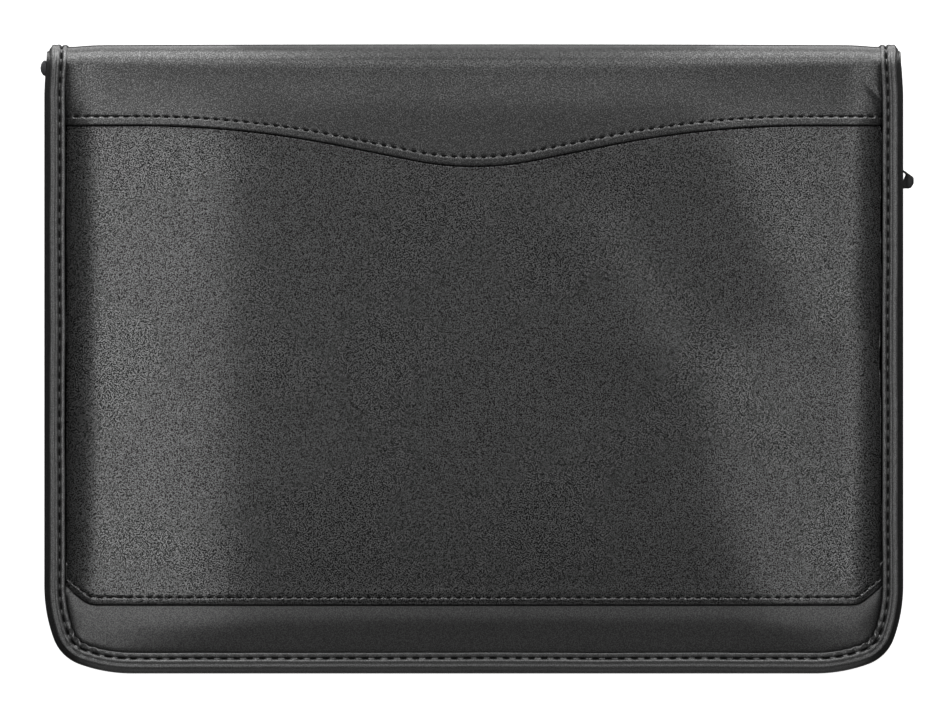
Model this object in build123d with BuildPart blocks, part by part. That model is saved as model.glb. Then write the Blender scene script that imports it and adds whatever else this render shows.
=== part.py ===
"""Zippered padfolio: a padded leather case, closed on three sides by a zip, around a letter-size pad.

It lies on its rear cover. X runs along the spine, +Y points to the spine and +Z is up. The origin is on
the surface that it rests on, below the middle of the covers. Lengths are in millimetres, angles in degrees.
"""

import math
import os

from build123d import *

# The pad and the pen that the case is made for
pad_length = 279.4
pad_width = 215.9
pad_thickness = 6.0
backing_thickness = 1.0
header_length = 22.0
header_thickness = 0.4
pen_bore_radius = 5.0

# Room around them
side_margin = 38.1
zip_margin = 17.0
loop_clearance = 3.15
document_space = 5.6

# Thicknesses of the sheet materials
leather = 1.2
overlay = 0.9
foam = 2.0
board = 2.0
spine_board = 1.6
lining = 0.6
pocket_cloth = 0.8
card_cloth = 0.6
elastic = 0.8
binding_leather = 1.0
tape = 0.6

# Outline of the covers: three tangent arcs make each rounded corner
corner_radius = 17.5
corner_ease_radius = 63.5
corner_ease_angle = 20.0
spine_radius = 10.0
lining_fold_radius = 3.0

# Edge binding, and the padded panels that roll down to it
binding_width = 8.3
binding_inner_width = 3.6
binding_round = 2.2
spine_binding_thickness = 3.4
crease = 0.3
edge_clearance = 0.2
roll_run = 8.0
roll_drop = 1.0
foam_margin = 4.0

# Leather panels of the front, each sewn over the one below it
seam_allowance = 8.0
yoke_depth = 33.8
yoke_dip = 16.9
yoke_slope = 11.3
yoke_dip_radius = 128.0
yoke_shoulder_radius = 424.0
hem_depth = 28.4
hem_corner_run = 9.5
hem_corner_rise = 7.5

# Zip
teeth_gap = 1.4
teeth_height = 2.3
teeth_width = 2.0
chain_end = 38.4
stop_length = 3.0
stop_gap = 0.3
tab_length = 8.0
tab_height = 6.0
tab_overhang = 1.5
tab_past_fold = 4.0
tape_wall_gap = 0.2

# Zip slider and its pull
slider_length = 12.0
slider_plate = 1.2
slider_play = 0.6
slider_room = 1.0
slider_lip = 0.75
lip_play = 0.2
post_play = 0.2
post_length = 3.0
slider_end_gap = 1.3
bail_overhang = 4.5
bail_half_length = 4.2
bail_wire = 1.4
bail_width = 2.4
pull_length = 28.0
pull_width = 6.5
pull_thickness = 1.2
pull_bar_radius = 0.75
pull_bar_gap = 0.3
eye_clearance = 1.2
eye_play = 0.4

# Pockets
pocket_inset = 9.5
pocket_mouth = 20.0
pocket_play = 1.0
backing_play = 0.1
document_mouth = 40.0
document_depth = 5.0
card_slot_width = 96.0
card_slot_length = 58.0
card_slot_step = 15.0
card_slot_start = -130.0
card_slot_middle_y = 20.0
pen_loop_length = 50.0
pen_loop_base = 13.0

# Plan of the covers
loop_radius = pen_bore_radius + elastic
gutter = 2 * (loop_radius + loop_clearance)
cover_width = pad_length + 2 * side_margin
cover_depth = zip_margin + pad_width + gutter + spine_radius
half_width = cover_width / 2
spine_y = cover_depth / 2
hinge_y = spine_y - spine_radius
zip_y = -cover_depth / 2
corner_cos = math.cos(math.radians(corner_ease_angle))
corner_sin = math.sin(math.radians(corner_ease_angle))
corner_reach = corner_ease_radius * (1 - corner_cos + corner_sin) + corner_radius * (corner_cos - corner_sin)
edge_inset = binding_leather + edge_clearance
panel_inset = binding_width + crease
panel_half = half_width - panel_inset
foam_inset = panel_inset + foam_margin

# Layers of a cover, outward from the inner face of its lining
board_top = lining + board
foam_top = board_top + foam
hem_top = foam_top + leather
main_top = hem_top + overlay
yoke_top = main_top + overlay
rear_flange_top = board_top + leather
front_flange_top = rear_flange_top + 2 * overlay
rear_binding_top = rear_flange_top + binding_leather
front_binding_top = front_flange_top + binding_leather
binding_recess = foam - binding_leather

# Heights
pocket_slot = backing_thickness + backing_play
sheets_bottom = pocket_slot + pocket_cloth
pad_top = sheets_bottom + pad_thickness + header_thickness
pocket_stack = document_depth + pocket_cloth + 3 * card_cloth
inside_height = pad_top + document_space + pocket_stack
rear_inside_z = hem_top
front_inside_z = rear_inside_z + inside_height
top_z = front_inside_z + yoke_top
middle_z = (rear_inside_z + front_inside_z) / 2

# Spine, from its outer face inward
spine_board_y = spine_y - leather
spine_lining_y = spine_board_y - spine_board
spine_inside_y = spine_lining_y - lining

# Zip in plan, and the depth of its tape walls
tape_inset = binding_inner_width + tape_wall_gap
tape_middle = tape_inset + tape / 2
chain_y = hinge_y - chain_end
stop_y = chain_y + stop_gap
tail_y = stop_y + stop_length
teeth_depth = inside_height / 2 - teeth_gap / 2
wall_depth = teeth_depth - teeth_height
rear_teeth_z = rear_inside_z + teeth_depth
rear_wall_z = rear_inside_z + wall_depth
front_teeth_z = front_inside_z - teeth_depth
front_wall_z = front_inside_z - wall_depth
slider_x = half_width - tape_middle
slider_y = chain_y - slider_end_gap - slider_length / 2
slot_half = teeth_width / 2 + slider_play
lip_half = teeth_width / 2 + lip_play
post_half = teeth_gap / 2 - post_play
slider_half = teeth_gap / 2 + teeth_height + slider_room + slider_lip
slider_front_y = slider_y - slider_length / 2
slider_back_y = slider_y + slider_length / 2
slider_face_x = slider_x + slot_half + slider_plate
bail_x = half_width + bail_overhang
pull_x = slider_face_x + pull_bar_gap + pull_bar_radius
eye_length = bail_x - pull_x + eye_clearance

# Pad and pockets in plan
pad_front_y = zip_y + zip_margin
pad_back_y = pad_front_y + pad_width
pad_half = pad_length / 2
loop_y = hinge_y - loop_clearance - loop_radius

# Each cover is drawn on the inner face of its lining and built outward
front_side = Plane(origin=(0, 0, front_inside_z), x_dir=(1, 0, 0), z_dir=(0, 0, 1))
rear_side = Plane(origin=(0, 0, rear_inside_z), x_dir=(-1, 0, 0), z_dir=(0, 0, -1))


def cover_face(inset, back=hinge_y):
    """Plan of a cover, this far inside its edge: square at the spine, rounded at the zip corners."""
    half = half_width - inset
    low = zip_y + inset
    reach = corner_reach - inset
    slow = corner_ease_radius - inset
    tight = corner_radius - inset
    with BuildSketch() as face:
        with BuildLine():
            left = Line((-half, back), (-half, low + reach))
            left_in = JernArc(left @ 1, left % 1, slow, corner_ease_angle)
            left_bend = JernArc(left_in @ 1, left_in % 1, tight, 90 - 2 * corner_ease_angle)
            left_out = JernArc(left_bend @ 1, left_bend % 1, slow, corner_ease_angle)
            zip_edge = Line(left_out @ 1, (half - reach, low))
            right_in = JernArc(zip_edge @ 1, zip_edge % 1, slow, corner_ease_angle)
            right_bend = JernArc(right_in @ 1, right_in % 1, tight, 90 - 2 * corner_ease_angle)
            right_out = JernArc(right_bend @ 1, right_bend % 1, slow, corner_ease_angle)
            right = Line(right_out @ 1, (half, back))
            Line(right @ 1, left @ 0)
        make_face()
    return face.sketch


def border_face(outer_inset, inner_inset, back=hinge_y):
    """Plan of a strip that runs along the three zip sides of a cover."""
    with BuildSketch() as face:
        add(cover_face(outer_inset, back))
        add(cover_face(inner_inset, back), mode=Mode.SUBTRACT)
    return face.sketch


def above_hem_face(shift):
    """Plan of all that lies on the spine's side of the main panel's lower edge, moved by shift."""
    edge = zip_y + hem_depth + shift
    raised = edge + hem_corner_rise
    corner_x = panel_half - hem_corner_run
    with BuildSketch() as face:
        with BuildLine():
            Polyline(
                (-half_width, hinge_y),
                (-half_width, raised),
                (-panel_half, raised),
                (-corner_x, edge),
                (corner_x, edge),
                (panel_half, raised),
                (half_width, raised),
                (half_width, hinge_y),
                close=True,
            )
        make_face()
    return face.sketch


def above_wave_face(shift):
    """Plan of all that lies on the spine's side of the yoke's waved lower edge, moved by shift."""
    shoulder_y = spine_y - yoke_depth + shift
    slope = math.radians(yoke_slope)
    arcs_drop = (yoke_dip_radius + yoke_shoulder_radius) * (1 - math.cos(slope))
    straight = (yoke_dip - arcs_drop) / math.sin(slope)
    with BuildSketch() as face:
        with BuildLine():
            dip = JernArc((0, shoulder_y - yoke_dip), (1, 0), yoke_dip_radius, yoke_slope)
            rise = Line(dip @ 1, dip @ 1 + (dip % 1) * straight)
            shoulder = JernArc(rise @ 1, rise % 1, yoke_shoulder_radius, -yoke_slope)
            end = Line(shoulder @ 1, (half_width, shoulder_y))
            side = Line(end @ 1, (half_width, hinge_y))
            Line(side @ 1, (0, hinge_y))
            mirror(about=Plane.YZ)
        make_face()
    return face.sketch


def slab(side, face, low, high):
    """Plate of this plan, between two distances outward from the inner face of a cover's lining."""
    with BuildPart() as plate:
        with BuildSketch(side.offset(low)):
            add(face)
        extrude(amount=high - low)
    return plate.part


def padded_panel(side, flange_top, top):
    """Leather over a whole cover: a flange under the binding, and a padded field that rolls down to it."""
    with BuildPart() as field:
        add(slab(side, cover_face(panel_inset), board_top, top))
        outer_face = field.faces().sort_by(Axis.Z)[-1 if side is front_side else 0]
        rim = outer_face.edges().sort_by(Axis.Y)[:-1]
        chamfer(rim, roll_run, roll_drop, reference=outer_face)
        add(slab(side, border_face(edge_inset, panel_inset), board_top, flange_top))
        add(slab(side, cover_face(foam_inset, hinge_y - foam_margin), board_top, foam_top), mode=Mode.SUBTRACT)
    return field.part


def binding_channel(side, outer_top):
    """Folded leather strip around the three zip sides of a cover, rounded on its outer edges."""
    inner_low = -tape - binding_leather
    with BuildPart() as channel:
        add(slab(side, cover_face(0), inner_low, outer_top))
        upper = channel.edges().group_by(Axis.Z)[-1].sort_by(Axis.Y)[:-1]
        lower = channel.edges().group_by(Axis.Z)[0].sort_by(Axis.Y)[:-1]
        fillet(upper + lower, binding_round)
        add(slab(side, cover_face(binding_leather), -tape, outer_top - binding_leather), mode=Mode.SUBTRACT)
        add(slab(side, cover_face(binding_width), outer_top - binding_leather, outer_top), mode=Mode.SUBTRACT)
        add(slab(side, cover_face(binding_inner_width), inner_low, -tape), mode=Mode.SUBTRACT)
    return channel.part


def fold_ring(middle_z_of_bend, start_angle, outer_radius, thickness):
    """Section, in Y and Z, of a quarter bend around the hinge line."""
    middle = (hinge_y, middle_z_of_bend)
    with BuildSketch() as ring:
        with BuildLine():
            outer = CenterArc(middle, outer_radius, start_angle, 90)
            inner = CenterArc(middle, outer_radius - thickness, start_angle, 90)
            Line(outer @ 0, inner @ 0)
            Line(outer @ 1, inner @ 1)
        make_face()
    return ring.sketch


def fold_lining_section(inside_z, up):
    """Section, in Y and Z, of the lining from a cover round to the spine. Up is 1 at the rear, -1 at the front."""
    bend_y = spine_inside_y - lining_fold_radius
    bend_z = inside_z + up * lining_fold_radius
    outer_z = inside_z - up * lining
    with BuildSketch() as section:
        with BuildLine():
            inner_run = Line((hinge_y, inside_z), (bend_y, inside_z))
            inner_bend = JernArc(inner_run @ 1, inner_run % 1, lining_fold_radius, up * 90)
            outer_run = Line((hinge_y, outer_z), (bend_y, outer_z))
            outer_bend = JernArc(outer_run @ 1, outer_run % 1, lining_fold_radius + lining, up * 90)
            Line(inner_run @ 0, outer_run @ 0)
            Line(inner_bend @ 1, outer_bend @ 1)
        make_face()
    return section.sketch


def end_strips(section):
    """The same section at both ends of the spine, as wide as the binding."""
    with BuildPart() as strips:
        for end_x in (half_width - binding_width, -half_width):
            with BuildSketch(Plane.YZ.offset(end_x)):
                add(section)
            extrude(amount=binding_width)
    return strips.part


def spine_section(outer_y, thickness, low, high):
    """Section, in Y and Z, of a flat strip of the spine."""
    with BuildSketch() as section:
        with Locations((outer_y - thickness / 2, (low + high) / 2)):
            Rectangle(thickness, high - low)
    return section.sketch


def box_between(low, high):
    """Block between two corners."""
    size = [top - bottom for bottom, top in zip(low, high)]
    with BuildPart() as block:
        with Locations(low):
            Box(size[0], size[1], size[2], align=(Align.MIN, Align.MIN, Align.MIN))
    return block.part


def beside_chain(width, low_y, high_y, low_z, high_z):
    """Block of this width on the zip line of both ends of the case, between the given limits."""
    with BuildPart() as blocks:
        for line_x in (slider_x, -slider_x):
            add(box_between((line_x - width / 2, low_y, low_z), (line_x + width / 2, high_y, high_z)))
    return blocks.part


os.makedirs("parts", exist_ok=True)

# Rear cover
with BuildPart() as rear_leather:
    add(padded_panel(rear_side, rear_flange_top, hem_top))
rear_leather.part.label = "rear_leather"
export_step(rear_leather.part, "parts/rear_leather.step")

with BuildPart() as rear_foam:
    add(slab(rear_side, cover_face(foam_inset, hinge_y - foam_margin), board_top, foam_top))
rear_foam.part.label = "rear_foam"
export_step(rear_foam.part, "parts/rear_foam.step")

with BuildPart() as rear_board:
    add(slab(rear_side, cover_face(edge_inset), lining, board_top))
rear_board.part.label = "rear_board"
export_step(rear_board.part, "parts/rear_board.step")

with BuildPart() as rear_lining:
    add(slab(rear_side, cover_face(edge_inset), 0, lining))
rear_lining.part.label = "rear_lining"
export_step(rear_lining.part, "parts/rear_lining.step")

with BuildPart() as rear_binding:
    add(binding_channel(rear_side, rear_binding_top))
rear_binding.part.label = "rear_binding"
export_step(rear_binding.part, "parts/rear_binding.step")

with BuildPart() as rear_zipper_tape:
    add(slab(rear_side, border_face(edge_inset, tape_inset + tape), -tape, 0))
    add(slab(rear_side, border_face(tape_inset, tape_inset + tape), -wall_depth, -tape))
    add(beside_chain(tape, tail_y, hinge_y, rear_wall_z, rear_teeth_z))
rear_zipper_tape.part.label = "rear_zipper_tape"
export_step(rear_zipper_tape.part, "parts/rear_zipper_tape.step")

teeth_face = border_face(tape_middle - teeth_width / 2, tape_middle + teeth_width / 2, chain_y)

with BuildPart() as rear_zipper_teeth:
    add(slab(rear_side, teeth_face, -teeth_depth, -wall_depth))
rear_zipper_teeth.part.label = "rear_zipper_teeth"
export_step(rear_zipper_teeth.part, "parts/rear_zipper_teeth.step")

with BuildPart() as rear_zip_stops:
    add(beside_chain(teeth_width, stop_y, stop_y + stop_length, rear_wall_z, rear_teeth_z))
rear_zip_stops.part.label = "rear_zip_stops"
export_step(rear_zip_stops.part, "parts/rear_zip_stops.step")

tab_back_y = hinge_y + tab_past_fold
tab_front_y = tab_back_y - tab_length

with BuildPart() as rear_tape_end_tab:
    add(
        box_between(
            (-half_width - tab_overhang, tab_front_y, rear_inside_z - tab_height / 2),
            (-half_width, tab_back_y, rear_inside_z + tab_height / 2),
        )
    )
    fillet(rear_tape_end_tab.edges().filter_by(Axis.Z).group_by(Axis.X)[0], tab_overhang / 2)
rear_tape_end_tab.part.label = "rear_tape_end_tab"
export_step(rear_tape_end_tab.part, "parts/rear_tape_end_tab.step")

# Writing pad and the pocket that its backing slides into
with BuildPart() as pad_pocket:
    add(slab(rear_side, cover_face(pocket_inset, pad_back_y + pocket_play * 3), -sheets_bottom, 0))
    add(
        box_between(
            (pocket_mouth, zip_y, rear_inside_z),
            (half_width, spine_y, rear_inside_z + sheets_bottom),
        ),
        mode=Mode.SUBTRACT,
    )
    add(
        box_between(
            (-pad_half - pocket_play, pad_front_y - pocket_play, rear_inside_z),
            (half_width, pad_back_y + pocket_play, rear_inside_z + pocket_slot),
        ),
        mode=Mode.SUBTRACT,
    )
pad_pocket.part.label = "pad_pocket"
export_step(pad_pocket.part, "parts/pad_pocket.step")

with BuildPart() as pad_backing:
    add(
        box_between(
            (-pad_half, pad_front_y, rear_inside_z),
            (pad_half, pad_back_y, rear_inside_z + backing_thickness),
        )
    )
pad_backing.part.label = "pad_backing"
export_step(pad_backing.part, "parts/pad_backing.step")

sheets_low_z = rear_inside_z + sheets_bottom
sheets_high_z = sheets_low_z + pad_thickness

with BuildPart() as pad_sheets:
    add(
        box_between(
            (-pad_half, pad_front_y, sheets_low_z),
            (pad_half, pad_back_y, sheets_high_z),
        )
    )
pad_sheets.part.label = "pad_sheets"
export_step(pad_sheets.part, "parts/pad_sheets.step")

with BuildPart() as pad_header:
    add(
        box_between(
            (pad_half - header_length, pad_front_y, rear_inside_z),
            (pad_half + header_thickness, pad_back_y, sheets_high_z + header_thickness),
        )
    )
    add(
        box_between(
            (0, pad_front_y, rear_inside_z),
            (pad_half, pad_back_y, sheets_high_z),
        ),
        mode=Mode.SUBTRACT,
    )
pad_header.part.label = "pad_header"
export_step(pad_header.part, "parts/pad_header.step")

# Bend between the rear cover and the spine
with BuildPart() as rear_fold_leather:
    with BuildSketch(Plane.YZ):
        add(fold_ring(spine_radius, -90, spine_radius, leather))
    extrude(amount=panel_half, both=True)
rear_fold_leather.part.label = "rear_fold_leather"
export_step(rear_fold_leather.part, "parts/rear_fold_leather.step")

with BuildPart() as rear_fold_lining:
    with BuildSketch(Plane.YZ):
        add(fold_lining_section(rear_inside_z, 1))
    extrude(amount=panel_half, both=True)
rear_fold_lining.part.label = "rear_fold_lining"
export_step(rear_fold_lining.part, "parts/rear_fold_lining.step")

with BuildPart() as rear_fold_binding:
    add(end_strips(fold_ring(spine_radius, -90, spine_radius - binding_recess, spine_binding_thickness)))
rear_fold_binding.part.label = "rear_fold_binding"
export_step(rear_fold_binding.part, "parts/rear_fold_binding.step")

# Spine
with BuildPart() as spine_leather:
    with BuildSketch(Plane.YZ):
        add(spine_section(spine_y, leather, spine_radius, top_z - spine_radius))
    extrude(amount=panel_half, both=True)
spine_leather.part.label = "spine_leather"
export_step(spine_leather.part, "parts/spine_leather.step")

with BuildPart() as spine_stiffener:
    with BuildSketch(Plane.YZ):
        add(spine_section(spine_board_y, spine_board, spine_radius, top_z - spine_radius))
    extrude(amount=panel_half, both=True)
spine_stiffener.part.label = "spine_stiffener"
export_step(spine_stiffener.part, "parts/spine_stiffener.step")

lining_low_z = rear_inside_z + lining_fold_radius
lining_high_z = front_inside_z - lining_fold_radius

with BuildPart() as spine_lining:
    with BuildSketch(Plane.YZ):
        add(spine_section(spine_lining_y, lining, lining_low_z, lining_high_z))
    extrude(amount=panel_half, both=True)
spine_lining.part.label = "spine_lining"
export_step(spine_lining.part, "parts/spine_lining.step")

spine_binding_y = spine_y - binding_recess

with BuildPart() as spine_binding:
    add(end_strips(spine_section(spine_binding_y, spine_binding_thickness, spine_radius, top_z - spine_radius)))
spine_binding.part.label = "spine_binding"
export_step(spine_binding.part, "parts/spine_binding.step")

# Bend between the spine and the front cover
front_bend_z = top_z - spine_radius

with BuildPart() as front_fold_leather:
    with BuildSketch(Plane.YZ):
        add(fold_ring(front_bend_z, 0, spine_radius, leather))
    extrude(amount=panel_half, both=True)
front_fold_leather.part.label = "front_fold_leather"
export_step(front_fold_leather.part, "parts/front_fold_leather.step")

with BuildPart() as front_fold_lining:
    with BuildSketch(Plane.YZ):
        add(fold_lining_section(front_inside_z, -1))
    extrude(amount=panel_half, both=True)
front_fold_lining.part.label = "front_fold_lining"
export_step(front_fold_lining.part, "parts/front_fold_lining.step")

with BuildPart() as front_fold_binding:
    add(end_strips(fold_ring(front_bend_z, 0, spine_radius - binding_recess, spine_binding_thickness)))
front_fold_binding.part.label = "front_fold_binding"
export_step(front_fold_binding.part, "parts/front_fold_binding.step")

# Front cover: hem panel, main panel over it, yoke over both
with BuildPart() as front_hem_panel:
    add(padded_panel(front_side, front_flange_top, hem_top))
    add(slab(front_side, above_hem_face(seam_allowance), 0, yoke_top), mode=Mode.SUBTRACT)
front_hem_panel.part.label = "front_hem_panel"
export_step(front_hem_panel.part, "parts/front_hem_panel.step")

with BuildPart() as front_main_panel:
    add(padded_panel(front_side, front_flange_top, main_top))
    add(slab(front_side, above_hem_face(0), 0, yoke_top), mode=Mode.INTERSECT)
    add(slab(front_side, above_wave_face(seam_allowance), 0, yoke_top), mode=Mode.SUBTRACT)
    add(front_hem_panel.part, mode=Mode.SUBTRACT)
front_main_panel.part.label = "front_main_panel"
export_step(front_main_panel.part, "parts/front_main_panel.step")

with BuildPart() as front_yoke:
    add(padded_panel(front_side, front_flange_top, yoke_top))
    add(slab(front_side, above_wave_face(0), 0, yoke_top), mode=Mode.INTERSECT)
    add(front_main_panel.part, mode=Mode.SUBTRACT)
front_yoke.part.label = "front_yoke"
export_step(front_yoke.part, "parts/front_yoke.step")

with BuildPart() as front_foam:
    add(slab(front_side, cover_face(foam_inset, hinge_y - foam_margin), board_top, foam_top))
front_foam.part.label = "front_foam"
export_step(front_foam.part, "parts/front_foam.step")

with BuildPart() as front_board:
    add(slab(front_side, cover_face(edge_inset), lining, board_top))
front_board.part.label = "front_board"
export_step(front_board.part, "parts/front_board.step")

with BuildPart() as front_lining:
    add(slab(front_side, cover_face(edge_inset), 0, lining))
front_lining.part.label = "front_lining"
export_step(front_lining.part, "parts/front_lining.step")

with BuildPart() as front_binding:
    add(binding_channel(front_side, front_binding_top))
front_binding.part.label = "front_binding"
export_step(front_binding.part, "parts/front_binding.step")

with BuildPart() as front_zipper_tape:
    add(slab(front_side, border_face(edge_inset, tape_inset + tape), -tape, 0))
    add(slab(front_side, border_face(tape_inset, tape_inset + tape), -wall_depth, -tape))
    add(beside_chain(tape, tail_y, hinge_y, front_teeth_z, front_wall_z))
front_zipper_tape.part.label = "front_zipper_tape"
export_step(front_zipper_tape.part, "parts/front_zipper_tape.step")

with BuildPart() as front_zipper_teeth:
    add(slab(front_side, teeth_face, -teeth_depth, -wall_depth))
front_zipper_teeth.part.label = "front_zipper_teeth"
export_step(front_zipper_teeth.part, "parts/front_zipper_teeth.step")

with BuildPart() as front_zip_stops:
    add(beside_chain(teeth_width, stop_y, stop_y + stop_length, front_teeth_z, front_wall_z))
front_zip_stops.part.label = "front_zip_stops"
export_step(front_zip_stops.part, "parts/front_zip_stops.step")

with BuildPart() as front_tape_end_tab:
    add(
        box_between(
            (-half_width - tab_overhang, tab_front_y, front_inside_z - tab_height / 2),
            (-half_width, tab_back_y, front_inside_z + tab_height / 2),
        )
    )
    fillet(front_tape_end_tab.edges().filter_by(Axis.Z).group_by(Axis.X)[0], tab_overhang / 2)
front_tape_end_tab.part.label = "front_tape_end_tab"
export_step(front_tape_end_tab.part, "parts/front_tape_end_tab.step")

# Pockets and pen loop inside the front cover
document_gusset_inset = pocket_inset + pocket_cloth
document_panel_z = front_inside_z - document_depth

with BuildPart() as document_pocket_gusset:
    add(slab(front_side, cover_face(pocket_inset, pad_back_y), -document_depth, 0))
    add(
        slab(front_side, cover_face(document_gusset_inset, pad_back_y - pocket_cloth), -document_depth, 0),
        mode=Mode.SUBTRACT,
    )
    add(
        box_between(
            (document_mouth, zip_y, document_panel_z),
            (half_width, spine_y, front_inside_z),
        ),
        mode=Mode.SUBTRACT,
    )
document_pocket_gusset.part.label = "document_pocket_gusset"
export_step(document_pocket_gusset.part, "parts/document_pocket_gusset.step")

with BuildPart() as document_pocket:
    add(
        slab(
            front_side,
            cover_face(pocket_inset, pad_back_y),
            -document_depth - pocket_cloth,
            -document_depth,
        )
    )
    add(
        box_between(
            (document_mouth, zip_y, document_panel_z - pocket_cloth),
            (half_width, spine_y, document_panel_z),
        ),
        mode=Mode.SUBTRACT,
    )
document_pocket.part.label = "document_pocket"
export_step(document_pocket.part, "parts/document_pocket.step")

card_base_z = document_panel_z - pocket_cloth
card_low_y = card_slot_middle_y - card_slot_width / 2
card_high_y = card_slot_middle_y + card_slot_width / 2

with BuildPart() as card_slot_back:
    add(
        box_between(
            (card_slot_start, card_low_y, card_base_z - card_cloth),
            (card_slot_start + card_slot_length + 2 * card_slot_step, card_high_y, card_base_z),
        )
    )
card_slot_back.part.label = "card_slot_back"
export_step(card_slot_back.part, "parts/card_slot_back.step")

with BuildPart() as card_slot_middle:
    add(
        box_between(
            (card_slot_start, card_low_y, card_base_z - 2 * card_cloth),
            (card_slot_start + card_slot_length + card_slot_step, card_high_y, card_base_z - card_cloth),
        )
    )
card_slot_middle.part.label = "card_slot_middle"
export_step(card_slot_middle.part, "parts/card_slot_middle.step")

with BuildPart() as card_slot_front:
    add(
        box_between(
            (card_slot_start, card_low_y, card_base_z - 3 * card_cloth),
            (card_slot_start + card_slot_length, card_high_y, card_base_z - 2 * card_cloth),
        )
    )
card_slot_front.part.label = "card_slot_front"
export_step(card_slot_front.part, "parts/card_slot_front.step")

with BuildPart() as pen_loop:
    with BuildSketch(Plane.YZ):
        with Locations((loop_y, front_inside_z - loop_radius)):
            Circle(loop_radius)
        with Locations((loop_y, front_inside_z - elastic / 2)):
            Rectangle(pen_loop_base, elastic)
        with Locations((loop_y, front_inside_z - loop_radius)):
            Circle(pen_bore_radius, mode=Mode.SUBTRACT)
    extrude(amount=pen_loop_length / 2, both=True)
pen_loop.part.label = "pen_loop"
export_step(pen_loop.part, "parts/pen_loop.step")

# Zip slider: two plates with lips round the tapes, a post between them, and the bail that carries the pull
with BuildPart() as zipper_slider:
    add(
        box_between(
            (slider_x - slot_half - slider_plate, slider_front_y, middle_z - slider_half),
            (slider_face_x, slider_back_y, middle_z + slider_half),
        )
    )
    fillet(zipper_slider.edges().filter_by(Axis.X), slider_plate)
    add(
        box_between(
            (slider_x - slot_half, slider_front_y, middle_z - slider_half + slider_lip),
            (slider_x + slot_half, slider_back_y, middle_z + slider_half - slider_lip),
        ),
        mode=Mode.SUBTRACT,
    )
    add(
        box_between(
            (slider_x - lip_half, slider_front_y, middle_z - slider_half),
            (slider_x + lip_half, slider_back_y, middle_z + slider_half),
        ),
        mode=Mode.SUBTRACT,
    )
    add(
        box_between(
            (slider_x - slot_half, slider_back_y - post_length, middle_z - post_half),
            (slider_x + slot_half, slider_back_y, middle_z + post_half),
        )
    )
    with BuildSketch(Plane.XY.offset(middle_z - bail_width / 2)):
        with Locations((slider_face_x, slider_y)):
            Ellipse(bail_x - slider_face_x, bail_half_length)
            Ellipse(bail_x - slider_face_x - bail_wire, bail_half_length - bail_wire, mode=Mode.SUBTRACT)
            Rectangle(slider_length, slider_length, align=(Align.MAX, Align.CENTER), mode=Mode.SUBTRACT)
    extrude(amount=bail_width)
zipper_slider.part.label = "zipper_slider"
export_step(zipper_slider.part, "parts/zipper_slider.step")

# Pull: a flat tag whose eye goes round the bail, with a round bar inside the bail
with BuildPart() as pull_tab:
    with BuildSketch(Plane.YZ.offset(pull_x - pull_thickness / 2)):
        with Locations((slider_y, middle_z)):
            Rectangle(pull_length, pull_width, align=(Align.MAX, Align.CENTER))
    extrude(amount=pull_thickness)
    fillet(pull_tab.edges().filter_by(Axis.X).group_by(Axis.Y)[0], pull_width / 3)
    with BuildSketch(Plane.YZ.offset(pull_x - pull_thickness / 2)):
        with Locations((slider_y, middle_z)):
            Rectangle(eye_length, bail_width + 2 * eye_play, align=(Align.MAX, Align.CENTER))
    extrude(amount=pull_thickness, mode=Mode.SUBTRACT)
    with BuildSketch(Plane.XY.offset(middle_z - pull_width / 2)):
        with Locations((pull_x, slider_y)):
            Circle(pull_bar_radius)
    extrude(amount=pull_width)
pull_tab.part.label = "pull_tab"
export_step(pull_tab.part, "parts/pull_tab.step")
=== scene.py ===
"""Looks of a zippered leather padfolio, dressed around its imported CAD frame.

Lengths are in millimetres all through the script, and become metres when a mesh is made.
The case lies closed on its rear cover: X along the spine, Y towards the spine, Z up.
"""

import logging
import math
from dataclasses import dataclass, replace
from enum import StrEnum
from functools import cached_property
from typing import Callable, Sequence

import bmesh
import bpy
import numpy as np
from mathutils import Matrix, Vector


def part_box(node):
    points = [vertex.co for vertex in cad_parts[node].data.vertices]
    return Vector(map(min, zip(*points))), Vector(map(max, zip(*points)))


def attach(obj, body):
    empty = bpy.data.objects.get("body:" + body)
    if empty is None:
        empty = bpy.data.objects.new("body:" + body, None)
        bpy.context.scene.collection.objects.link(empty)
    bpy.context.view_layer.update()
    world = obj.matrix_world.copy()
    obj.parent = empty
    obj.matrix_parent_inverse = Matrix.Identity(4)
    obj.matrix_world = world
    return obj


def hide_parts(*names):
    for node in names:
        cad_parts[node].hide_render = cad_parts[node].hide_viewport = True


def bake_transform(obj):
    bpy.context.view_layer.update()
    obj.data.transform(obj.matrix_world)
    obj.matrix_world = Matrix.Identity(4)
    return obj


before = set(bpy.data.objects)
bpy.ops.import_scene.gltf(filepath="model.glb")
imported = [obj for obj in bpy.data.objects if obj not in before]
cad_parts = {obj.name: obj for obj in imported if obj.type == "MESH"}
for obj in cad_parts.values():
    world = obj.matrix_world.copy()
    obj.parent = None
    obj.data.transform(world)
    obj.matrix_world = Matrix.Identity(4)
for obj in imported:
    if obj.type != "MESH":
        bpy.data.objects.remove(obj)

MM = 0.001
LOG = logging.getLogger("padfolio")
Array = np.ndarray
Curve = Callable[[Array], Array]
Surface = Callable[[Array, Array], Array]
Section = tuple[tuple[float, float], ...]
Piece = bpy.types.Object
Tree = bpy.types.NodeTree
Node = bpy.types.Node
Socket = bpy.types.NodeSocket
Tint = tuple[float, float, float, float]
Pattern = tuple[Socket, Socket]
MATH, NOISE, WAVE, MAP_RANGE = (f"ShaderNode{kind}" for kind in ("Math", "TexNoise", "TexWave", "MapRange"))
# A wave texture has one crest in each such run of its scaled coordinate.
WAVE_CREST = 0.31416


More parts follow.
